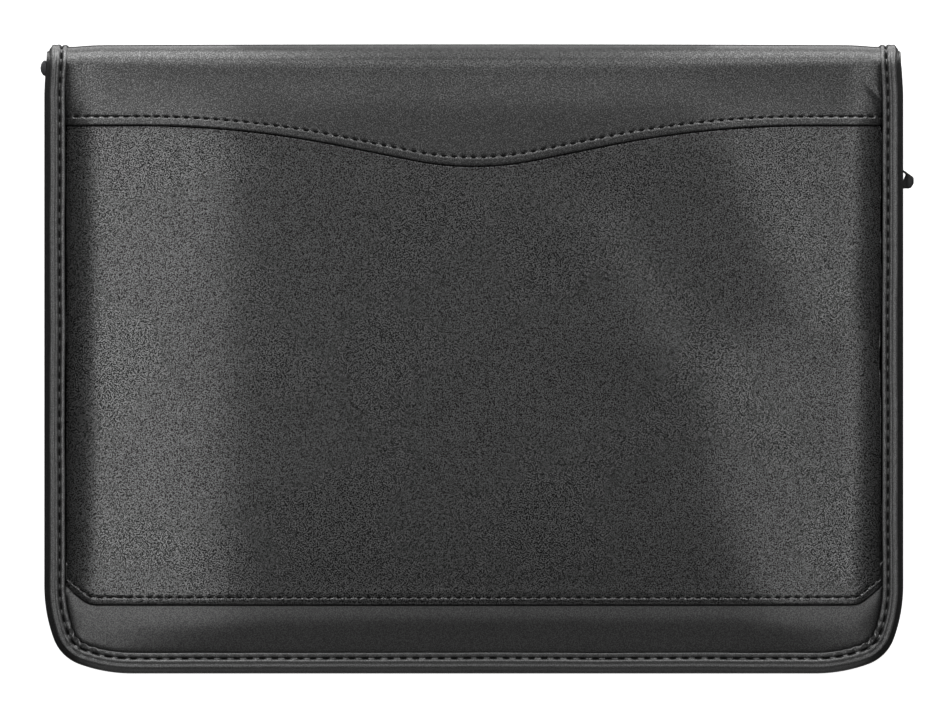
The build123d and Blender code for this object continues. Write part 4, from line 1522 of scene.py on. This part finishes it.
@dataclass
class Zip:
    """Zip fastener round three sides: two tapes, two rows of coil, stops and folded tape ends."""

    tape_inset: float = 4.1
    tape: float = 0.6
    tape_flange: float = 1.4
    coil: ItemsOnLine = ItemsOnLine("coil", 1.5, 0.72, 3.2, 2.0)
    coil_bite: float = 0.25

    def build_side(self, side: Side) -> None:
        """Make one tape with its row of coil, stops and end.

        Args:
            side: which cover.
        """
        chain_end = box_of(f"{side}_zipper_teeth")[1].y
        lining = CASE.lining_depth(side)
        middle = (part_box("front_zipper_teeth")[0].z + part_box("rear_zipper_teeth")[1].z) / 2 / MM
        tooth_tip = CASE.height(side, middle)
        wall_end = tooth_tip - (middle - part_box("rear_zipper_teeth")[0].z / MM)
        path = EdgePath.around(2.0, 1.2, over_fold=False)
        past = ease((path.points[:, 1] - chain_end) / 4.0)
        edge_depth = wall_end + past * (tooth_tip - wall_end - 0.75)
        half = self.tape / 2
        flange, wall = self.tape_flange, self.tape_inset
        front, back = wall + half, wall - half
        # Section of the tape: inset, share of the way from the lining to its edge, and depth past that.
        inset, share, fixed = np.array([
            (flange, 0.0, 0.06), (wall - 0.4, 0.0, 0.06), (wall + 0.15, 0.0, 0.2), (front, 0.0, 0.62),
            (front + 0.12, 0.5, 0.3), (front, 0.98, 0.0), (wall, 1.0, 0.0), (back, 0.98, 0.0),
            (back + 0.12, 0.5, 0.3), (back, 0.0, 0.9), (wall - 0.75, 0.0, 0.64), (flange, 0.0, 0.62),
        ]).T
        depth = lining + fixed[None, :] + share[None, :] * (edge_depth[:, None] - lining)
        loops = path.lay(side, np.broadcast_to(inset, depth.shape), depth)
        tape = make_piece(
            f"{side}_zip_tape", loft(loops, length_along(path.lay(side, 4.0, lining))), TAPE, sharp=60
        )
        fit(tape, [f"{side}_zipper_tape"], body=side.body)
        self.coil_row(side, chain_end, tooth_tip)
        self.stops(side)
        self.tape_end(side)

    def coil_row(self, side: Side, end_y: float, tooth_tip: float) -> None:
        """Make one row of coil turns, set half a pitch from the other row.

        Args:
            side: which cover.
            end_y: Y where the chain ends.
            tooth_tip: depth of the zip's middle from this cover.
        """
        path = EdgePath.around(0.75, 0.75, over_fold=False)
        path = path.cut(path.points[:, 1] < end_y)
        if side is Side.REAR:
            path = path.cut(np.arange(len(path.points)) > 0)
        reach = tooth_tip + self.coil_bite - self.coil.width / 2
        spots = path.lay(side, self.tape_inset, reach)
        out = np.column_stack([path.ways, np.zeros(len(path.ways))])
        coil = replace(self.coil, name=f"{side}_zip_coil").build([(spots, out)], COIL)
        fit(coil, [f"{side}_zipper_teeth"], body=side.body)

    def stops(self, side: Side) -> None:
        """Metal stops at the chain's ends: the frame's small blocks with rounded edges.

        Args:
            side: which cover carries them.
        """
        node = f"{side}_zip_stops"
        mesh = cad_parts[node].data.copy()
        work = bmesh.new()
        work.from_mesh(mesh)
        bmesh.ops.remove_doubles(work, verts=work.verts, dist=0.01 * MM)
        bmesh.ops.dissolve_limit(work, angle_limit=0.02, verts=work.verts, edges=work.edges)
        work.to_mesh(mesh)
        work.free()
        mesh.materials.clear()
        mesh.materials.append(LACQUER.material())
        piece = round_edges(in_scene(f"{node}_dressed", mesh), 0.4)
        piece.data.shade_smooth()
        fit(piece, [node], body=side.body)

    def tape_end(self, side: Side) -> None:
        """Turned-in end of the tape, a soft bump beside the binding.

        Args:
            side: which cover carries it.
        """
        node = f"{side}_tape_end_tab"
        low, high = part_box(node)
        middle, half = (np.array(low) + high) / 2 / MM, (np.array(high) - low) / 2 / MM
        half[1] *= 0.8
        turn = np.linspace(0, 2 * math.pi, 20, endpoint=False)
        loops = []
        for share in np.linspace(-0.98, 0.98, 15):
            round_off = math.sqrt(1 - share**2)
            out = middle[0] + half[0] - (0.5 + 2 * half[0] * round_off**1.5) * np.maximum(np.cos(turn), -0.4)
            up = middle[2] + half[2] * (0.55 + 0.45 * round_off) * np.sin(turn)
            loops.append(np.stack([out, np.full_like(turn, middle[1] + half[1] * share), up], axis=1))
        piece = make_piece(f"{node}_dressed", loft(np.array(loops)), LINING)
        fit(piece, [node], body=side.body)

    def build(self) -> None:
        """Make both halves of the zip."""
        for side in Side:
            self.build_side(side)


@dataclass
class Slider:
    """Zip slider with its bail, and the pull that swings on it."""

    plate: float = 1.2
    # Half outline of a plate: along the zip towards its mouth, and across.
    plate_edge: Section = (
        (-6.0, 2.2), (-5.6, 3.4), (-4.4, 4.0), (-1.5, 4.2), (1.5, 4.5), (4.4, 4.75), (5.6, 4.3), (6.0, 3.0),
        (5.2, 0.8),
    )
    # Outline of the bail and of its opening: outwards from the slider's face, and along the zip.
    bail_edge: Section = (
        (-0.8, 4.3), (1.2, 4.2), (3.2, 2.9), (6.1, 0.8), (6.5, 0.1), (6.5, -2.0), (5.4, -3.8), (4.5, -4.1),
        (-0.8, -4.1),
    )
    bail_opening: Section = ((0.1, 2.9), (1.3, 3.4), (2.8, 2.1), (3.1, 1.5), (2.0, -0.85), (0.1, -0.85))
    bail_thick: float = 2.0
    bail_reach: float = 5.8

    def upright(self, start: float, middle: Sequence[float], way: int = 1) -> Surface:
        """How flat points and heights stand up beside the case, from a start in X and about a middle."""
        return lambda flat, up: np.column_stack(
            [start + up, middle[0] + flat[:, 0], middle[1] + way * flat[:, 1]]
        )

    def build(self) -> None:
        """Make the slider and its pull."""
        low, high = box_of("zipper_slider")
        middle = (low.y + high.y) / 2, (low.z + high.z) / 2
        face_x = high.x - self.bail_reach
        half = np.array(self.plate_edge)
        outline = np.vstack([half, half[::-1] * np.array((1.0, -1.0))])
        shells = []
        for start in (face_x - self.plate, low.x):
            shells.append(flat_plate([outline], self.upright(start, middle), self.plate))
        post = rounded_rectangle((2.0, -1.2), (5.0, 1.2), 0.6)
        shells.append(flat_plate([post], self.upright(low.x + 0.6, middle), face_x - low.x - 1.2))
        lip = rounded_rectangle((-5.2, 3.5), (4.6, 4.5), 0.4)
        for way in (-1, 1):
            for start in (face_x - self.plate - 0.75, low.x + self.plate - 0.05):
                shells.append(flat_plate([lip], self.upright(start, middle, way), 0.8))
        parts = [make_piece(f"slider_part_{count}", shell, LACQUER) for count, shell in enumerate(shells)]
        parts = [round_edges(part, 0.3) for part in parts] + [self.bail(face_x, middle)]
        slider = self.join("zip_slider_casting", parts)
        fit(slider, ["zipper_slider"], body="slider")
        self.pull()

    def bail(self, face_x: float, middle: Sequence[float]) -> Piece:
        """Make the bail that stands out from the slider.

        Args:
            face_x: the slider's outer face.
            middle: its middle along the zip, and its middle height.

        Returns:
            The bail.
        """
        place = lambda flat, up: np.column_stack(
            [face_x + flat[:, 0], middle[0] + flat[:, 1], middle[1] - self.bail_thick / 2 + up]
        )
        shell = flat_plate([np.array(self.bail_edge), np.array(self.bail_opening)], place, self.bail_thick)
        return round_edges(make_piece("slider_bail", shell, LACQUER), 0.35)

    def pull(self) -> None:
        """Make the pull: a flat tapered bar with an eye on the bail and a hole at its end."""
        low, high = box_of("pull_tab")
        middle_z, half = (low.z + high.z) / 2, (high.z - low.z) / 2
        bar_radius, thick = 0.75, 1.2
        pivot = high.y - bar_radius
        edge = [
            (0.0, 0.62), (-2.0, 0.8), (-8.0, 0.72), (-18.0, 0.86), (-24.5, 1.0), (-26.8, 0.78), (-28.0, 0.3)
        ]
        edge = rounded_line(np.array(edge) * (1.0, half), 3, closed=False)
        outline = np.vstack([edge, edge[::-1] * np.array((1.0, -1.0))])
        eye = rounded_rectangle((-6.2, -half * 0.5), (-0.9, half * 0.5), 1.3)
        hole = rounded_rectangle((-25.4, -1.3), (-22.8, 1.3), 1.29)
        middle_x = (low.x + high.x) / 2
        place = self.upright(middle_x - thick / 2, (pivot, middle_z))
        plate = round_edges(
            make_piece("pull_plate", flat_plate([outline, eye, hole], place, thick), LACQUER), 0.28
        )
        turns = np.linspace(0, 2 * math.pi, 13)[:-1]
        reach = np.linspace(-half * 0.62, half * 0.62, 7)[:, None]
        across, out = bar_radius * np.cos(turns)[None, :], bar_radius * np.sin(turns)[None, :]
        ring = in_space(middle_x + across, pivot + out, middle_z + reach)
        bar = make_piece("pull_bar", loft(ring), LACQUER, sharp=40)
        fit(self.join("zip_pull", [plate, bar]), ["pull_tab"], body="pull")

    def join(self, name: str, parts: Sequence[Piece]) -> Piece:
        """Put some pieces of one casting into one object.

        Args:
            name: name of the object.
            parts: the pieces.

        Returns:
            The object.
        """
        work = bmesh.new()
        for part in parts:
            work.from_mesh(part.data)
            bpy.data.objects.remove(part)
        mesh = bpy.data.meshes.new(name)
        work.to_mesh(mesh)
        work.free()
        mesh.shade_smooth()
        mesh.set_sharp_from_angle(angle=math.radians(45))
        mesh.materials.append(LACQUER.material())
        return in_scene(name, mesh)


@dataclass
class WritingPad:
    """Ruled pad: backing card, stack of sheets, top sheet and bound head."""

    head_sheet: float = 0.4
    curl: float = 1.6

    def build(self) -> None:
        """Make the pad's pieces."""
        self.stack("pad_card", "pad_backing", CARD, "grey_card", 6, 0.0)
        self.stack("pad_sheet_stack", "pad_sheets", SHEET_EDGES, "paper", 26, 0.22)
        self.top_sheet()
        self.head()

    def stack(self, name: str, node: str, finish: Finish, slot: str, levels: int, stray: float) -> None:
        """Make a flat block in level layers.

        Args:
            name: name of the piece.
            node: CAD node that it stands for.
            finish: what it is made of.
            slot: not used.
            levels: number of layers.
            stray: how unevenly their edges lie.
        """
        low, high = box_of(node)
        draw = np.random.default_rng(13)
        loops = []
        for share in np.linspace(0, 1, levels):
            back = draw.uniform(0, stray) + (0.12 if share in (0.0, 1.0) else 0.0)
            ring = rounded_rectangle((low.x + back, low.y + back), (high.x - back, high.y - back), 1.0)
            loops.append(np.column_stack([ring, np.full(len(ring), low.z + (high.z - low.z) * share)]))
        piece = make_piece(name, loft(np.array(loops)), finish, sharp=50)
        fit(piece, [node], body="rear_cover")

    def top_sheet(self) -> None:
        """Make the ruled top sheet, which lifts a little at one corner."""
        low, high = box_of("pad_sheets")
        x = np.linspace(low.x + 0.1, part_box("pad_header")[0].x / MM + 4.0, 60)
        y = np.linspace(low.y + 0.1, high.y - 0.1, 50)
        corner = ease((-x[:, None] - 95.0) / 44.0) * ease((-y[None, :] - 70.0) / 43.0)
        lift = high.z + 0.05 + self.curl * corner**2
        top, under = (in_space(x[:, None], y[None, :], height) for height in (lift + 0.12, lift))
        sheet = make_piece("pad_top_sheet", two_faced(top, under), RULED, sharp=50)
        fit(sheet, [], body="rear_cover")

    def head(self) -> None:
        """Make the paper strip folded over the pad's head."""
        low, high = box_of("pad_header")
        t = self.head_sheet
        # Section from the strip's edge on the top sheet, over the head and down to the card.
        section = np.array([
            (low.x, high.z - t), (low.x, high.z - 0.05), (low.x + 0.5, high.z), (high.x - 1.0, high.z),
            (high.x - 0.3, high.z - 0.3), (high.x, high.z - 1.0), (high.x, low.z + 0.5),
            (high.x - 0.3, low.z), (high.x - t, low.z), (high.x - t, high.z - 1.1),
            (high.x - 1.1, high.z - t),
        ])
        y = np.linspace(low.y, high.y, 30)
        loops = in_space(section[None, :, 0], y[:, None], section[None, :, 1])
        strip = make_piece("pad_head_strip", loft(loops), HEAD_TAPE, sharp=40)
        fit(strip, ["pad_header"], body="rear_cover")


@dataclass
class Pockets:
    """Cloth pockets: the pad's pocket, the document pocket with its gusset, card slots and pen loop."""

    cloth: float = 0.8
    card_cloth: float = 0.6
    pocket_inset: float = 9.5
    pleat: float = 4.8
    belly: float = 0.7
    slot_stitch: ItemsOnLine = ItemsOnLine("slot_stitches", 3.0, 2.0, 0.6, 0.4, turn=0.05, seed=9)

    def sagging(self, x: Array, y: Array) -> Array:
        """How far the document pocket's panel hangs out between its edges."""
        low, high = box_of("document_pocket")
        across = np.sin(math.pi * np.clip((y - low.y) / (high.y - low.y), 0, 1))
        return self.belly * across * ease((x - low.x) / 80.0) + 0.08 * soft_waves(x, y, 40.0, 83) * across

    def panel(self, name: str, node: str, side: Side, drop: float, swell: Surface) -> None:
        """Make a cloth panel sewn down on three sides and open at its mouth.

        Args:
            name: name of the piece.
            node: CAD node that it stands for.
            side: which cover carries it.
            drop: how far its sewn edges go back towards the lining.
            swell: how far its face stands out at each place.
        """
        low, high = box_of(node)
        x = OUTLINE.columns(self.pocket_inset, 3.0)
        x = np.concatenate([x[x < high.x - 3.0], high.x - np.array([2.6, 1.6, 0.8, 0.3, 0.0])])
        start = OUTLINE.front_edge(x, self.pocket_inset)
        share = np.concatenate([[0.0, 0.003, 0.007, 0.012, 0.02, 0.03, 0.045], np.linspace(0.06, 0.94, 44)])
        share = np.concatenate([share, [0.955, 0.97, 0.98, 0.988, 0.993, 0.997, 1.0]])
        y = start[:, None] + (high.y - start)[:, None] * share
        edge = np.minimum(OUTLINE.inset_of(x[:, None], y) - self.pocket_inset, high.y - y)
        face_z = high.z if side is Side.REAR else low.z
        face = CASE.height(side, face_z) + swell(x[:, None], y)
        hem = 0.22 * bump(x[:, None], high.x - 4.0, 3.0) - 0.2 * bump(x[:, None], high.x - 9.0, 0.8)
        face = face - drop * (1 - ease(edge / 4.0)) - 0.25 * bump(edge, 4.5, 0.6) + hem
        faces = (CASE.place(side, x[:, None], y, level) for level in (face, face - self.cloth))
        piece = make_piece(name, two_faced(*faces), POCKET_CLOTH, sharp=60)
        fit(piece, [node], body=side.body)

    def gusset(self) -> None:
        """Make the pleated wall round the document pocket."""
        low, high = box_of("document_pocket_gusset")
        points, _ = OUTLINE.trace(3.0, 1.5, self.pocket_inset)
        left = points[:len(points) // 2 + 8]
        left = left[left[:, 1] < high.y - 3.0]
        line = np.vstack([
            np.column_stack([np.linspace(high.x, low.x + 3.0, 70), np.full(70, high.y)]),
            [(low.x + 1.2, high.y - 0.4), (low.x + 0.3, high.y - 1.4)],
            left[left[:, 0] < 0],
            np.column_stack([np.linspace(0, high.x, 14), np.full(14, low.y)]),
        ])
        inward = left_of(line)
        fold_z = (low.z + high.z) / 2
        section = np.array([
            (0.0, high.z), (0.1, high.z - 0.5), (self.pleat, fold_z + 0.2), (0.1, low.z + 0.3), (0.0, low.z),
            (0.5, low.z), (0.6, low.z + 0.5), (self.pleat + 0.7, fold_z), (0.6, high.z - 0.7), (0.5, high.z),
        ])
        spots = line[:, None, :] + inward[:, None, :] * section[None, :, :1]
        loops = np.concatenate(
            [spots, np.broadcast_to(section[None, :, 1:], spots.shape[:2] + (1,))], axis=-1
        )
        piece = make_piece("document_pocket_pleats", loft(loops), LINING, sharp=50)
        fit(piece, ["document_pocket_gusset"], body="front_cover")
        length = length_along(line)[-1]

    def card_slots(self) -> None:
        """Make the three stepped card slots and the stitches round them."""
        lines = []
        for place in ("back", "middle", "front"):
            node = f"card_slot_{place}"
            low, high = box_of(node)
            sewn = low.x + np.array([0.0, 0.3, 0.8, 1.6])
            mouth = high.x - np.array([4.5, 4.0, 3.5, 2.0, 0.8, 0.25, 0.0])
            x = np.concatenate([sewn, np.linspace(low.x + 4, high.x - 6, 24), mouth])
            y = np.linspace(low.y, high.y, 40)
            edge = np.minimum(np.minimum(y - low.y, high.y - y)[None, :], (x - low.x)[:, None])
            swell = 0.35 * ease(edge / 14.0) * ease((x - low.x) / 30.0)[:, None]
            hem = 0.12 * ease((x - high.x + 4.0) / 0.5)[:, None]
            sag = self.sagging(x[:, None], y[None, :])
            face = low.z + 0.12 - sag - swell - hem - 0.12 * ease(edge / 1.0)
            faces = (in_space(x[:, None], y[None, :], height) for height in (face, face + self.card_cloth))
            piece = make_piece(f"{node}_cloth", two_faced(*faces), POCKET_CLOTH, sharp=60)
            fit(piece, [node], body="front_cover")
            run = np.linspace(low.y + 2, high.y - 2, 60)
            spot = np.full(60, high.x - 5.0)
            swell = 0.35 * ease(np.minimum(run - low.y, high.y - run) / 14.0)
            drop = low.z + 0.12 - self.sagging(spot, run) - swell - 0.14
            lines.append((np.column_stack([spot, run, drop]), np.array((0.0, 0.0, -1.0))))
        stitches = self.slot_stitch.build(lines, THREAD)
        fit(stitches, [], body="front_cover")

    def pen_loop(self) -> None:
        """Make the elastic loop: a base sewn to the lining and a round loop that holds a pen."""
        low, high = box_of("pen_loop")
        thick, radius = 0.8, 5.4
        middle_y = (low.y + high.y) / 2
        centre_z = low.z + 5.8
        turns = np.radians(np.linspace(128, 412, 41))
        ring = np.column_stack([radius * np.cos(turns), centre_z + radius * np.sin(turns)])
        base_z = high.z - thick / 2
        base = np.array([(-6.5, base_z), (-5.2, base_z), (-4.4, base_z - 0.5)])
        line = np.vstack([base, ring, base[::-1] * (-1.0, 1.0)])
        out = left_of(line) * thick / 2
        section = np.vstack([line + out, (line - out)[::-1]])
        x = np.linspace(low.x, high.x, 81)
        ribs = 0.05 * np.cos(2 * math.pi * x / ELASTIC.rib)
        y = middle_y + section[None, :, 0] * (1 + ribs[:, None] / radius)
        z = centre_z + (section[None, :, 1] - centre_z) * (1 + ribs[:, None] * 0.5 / radius)
        loops = in_space(x[:, None], y, np.minimum(z, high.z))
        piece = make_piece("pen_loop_webbing", loft(loops), ELASTIC, sharp=60)
        fit(piece, ["pen_loop"], body="front_cover")

    def build(self) -> None:
        """Make all the pockets."""
        self.panel("pad_pocket_cloth", "pad_pocket", Side.REAR, -1.1, lambda x, y: 0.0 * x * y)
        self.panel("document_pocket_cloth", "document_pocket", Side.FRONT, 0.0, self.sagging)
        self.gusset()
        self.card_slots()
        self.pen_loop()


@dataclass(frozen=True)
class Softbox:
    """One rectangular soft light: where it hangs, where it points, its sides and its power in watts."""

    name: str
    place: tuple[float, float, float]
    aim: tuple[float, float, float]
    size: tuple[float, float]
    power: float

    def build(self) -> None:
        """Hang the light, its first side along X."""
        light = bpy.data.lights.new(self.name, "AREA")
        light.shape, light.energy = "RECTANGLE", self.power
        light.size, light.size_y = self.size[0] * MM, self.size[1] * MM
        lamp = in_scene(self.name, light)
        back = (Vector(self.place) - Vector(self.aim)).normalized()
        across = (Vector((1, 0, 0)) - back * back.x).normalized()
        lamp.rotation_euler = Matrix((across, back.cross(across), back)).transposed().to_euler()
        lamp.location = Vector(self.place) * MM
        lamp.visible_camera = False


@dataclass
class Studio:
    """Pale floor, soft lights and the camera above."""

    view_width: float = 393.5
    centre: tuple[float, float] = (0.52, -1.55)
    lens: float = 400.0
    sensor: float = 36.0
    floor_reach: float = 2500.0
    pale_glow: float = 0.92
    dim_glow: float = 0.10
    softboxes: tuple[Softbox, ...] = (
        Softbox("top_softbox", (0, 80, 1000), (0, 80, 0), (540, 420), 0.48),
        Softbox("key_softbox", (-70, 60, 1000), (-70, 60, 0), (380, 320), 0.12),
        Softbox("left_softbox", (-310, 15, 900), (-130, 35, 0), (170, 690), 1.36),
        Softbox("right_softbox", (335, 15, 900), (130, 35, 0), (130, 690), 0.91),
        Softbox("back_left_softbox", (-220, 560, 165), (-150, 120, 30), (260, 320), 1.65),
        Softbox("back_right_softbox", (220, 560, 165), (150, 120, 30), (260, 320), 1.4),
        Softbox("high_left_softbox", (-230, 500, 440), (-150, 120, 30), (260, 240), 0.45),
        Softbox("high_right_softbox", (230, 500, 440), (150, 120, 30), (260, 240), 0.42),
        Softbox("back_softbox", (0, 560, 165), (0, 120, 30), (180, 320), 0.24),
        Softbox("back_top_softbox", (0, 480, 640), (0, 120, 30), (800, 420), 1.9),
        Softbox("bounce_left", (-240, 420, 2), (-240, 420, 100), (280, 540), 1.1),
        Softbox("bounce_middle", (0, 420, 2), (0, 420, 100), (200, 540), 0.4),
        Softbox("bounce_right", (240, 420, 2), (240, 420, 100), (280, 540), 1.1),
        Softbox("front_softbox", (0, -480, 640), (0, -120, 30), (700, 300), 0.21),
        Softbox("front_strip", (0, -200, 2), (0, -200, 100), (360, 120), 0.03),
        Softbox("left_low_softbox", (-700, -20, 260), (-178, 0, 20), (480, 800), 0.4),
        Softbox("right_low_softbox", (700, -20, 260), (178, 0, 20), (480, 800), 0.5),
        Softbox("front_low_softbox", (0, -700, 260), (0, -130, 20), (900, 480), 0.45),
    )

    def seen_pale(self, tree: Tree, dim: Node, pale: Node, output: str) -> None:
        """Show the camera a pale shader, and light the case by a dim one."""
        ray = add_node(tree, "ShaderNodeLightPath").outputs["Is Camera Ray"]
        add_node(tree, output, {"Surface": add_node(tree, "ShaderNodeMixShader", {0: ray, 1: dim, 2: pale})})

    def floor(self) -> None:
        """Lay the plain pale floor, which throws little light back up under the edges."""
        made = bpy.data.materials.new("pale_floor")
        tree = bare_tree(made)
        tones = ("#3a3a3a", "#c0c0c0")
        dim, bare = (add_node(tree, "ShaderNodeBsdfDiffuse", {"Color": linear(tone)}) for tone in tones)
        glow = add_node(tree, "ShaderNodeEmission", {"Strength": self.pale_glow})
        pale = add_node(tree, "ShaderNodeAddShader", {0: bare, 1: glow})
        self.seen_pale(tree, dim, pale, "ShaderNodeOutputMaterial")
        corners = np.array([(-1, -1, 0), (1, -1, 0), (1, 1, 0), (-1, 1, 0)]) * self.floor_reach
        mesh = bpy.data.meshes.new("floor")
        mesh.from_pydata((corners * MM).tolist(), [], [[0, 1, 2, 3]])
        mesh.materials.append(made)
        in_scene("floor", mesh)

    def camera(self) -> None:
        """Hang the camera straight above the front cover."""
        data = bpy.data.cameras.new("camera")
        data.lens, data.sensor_width = self.lens, self.sensor
        eye = in_scene("camera", data)
        rise = self.view_width * self.lens / self.sensor
        eye.location = Vector((self.centre[0], self.centre[1], CASE.top + rise)) * MM
        bpy.context.scene.camera = eye

    def build(self) -> None:
        """Set up the floor, lights and camera."""
        self.floor()
        world = bpy.data.worlds.new("studio")
        tree = bare_tree(world)
        glows = (self.dim_glow, self.pale_glow)
        dim, pale = (add_node(tree, "ShaderNodeBackground", {"Strength": glow}) for glow in glows)
        self.seen_pale(tree, dim, pale, "ShaderNodeOutputWorld")
        bpy.context.scene.world = world
        for softbox in self.softboxes:
            softbox.build()
        self.camera()
        bpy.context.scene.view_settings.view_transform = "Standard"


def dress_hidden_nodes() -> None:
    """Give the boards inside the covers and spine their finish."""
    for node in ("front_board", "rear_board", "spine_stiffener"):
        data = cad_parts[node].data
        if data.materials:
            data.materials[0] = BOARD.material()
        else:
            data.materials.append(BOARD.material())
        LOG.info("%s: CAD shape kept, finish %s", node, BOARD.name)


def main() -> None:
    """Build the padfolio and its studio."""
    logging.basicConfig(level=logging.INFO, format="%(name)s: %(message)s")
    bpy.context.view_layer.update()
    Studio().build()
    dress_hidden_nodes()
    LeatherCovers().build()
    EdgeBinding(Side.FRONT, inner_depth=CASE.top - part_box("front_binding")[0].z / MM).build()
    EdgeBinding(Side.REAR, inner_depth=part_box("rear_binding")[1].z / MM).build()
    for side in Side:
        Lining(side).build()
    Zip().build()
    Slider().build()
    WritingPad().build()
    Pockets().build()


if __name__ == "__main__":
    main()
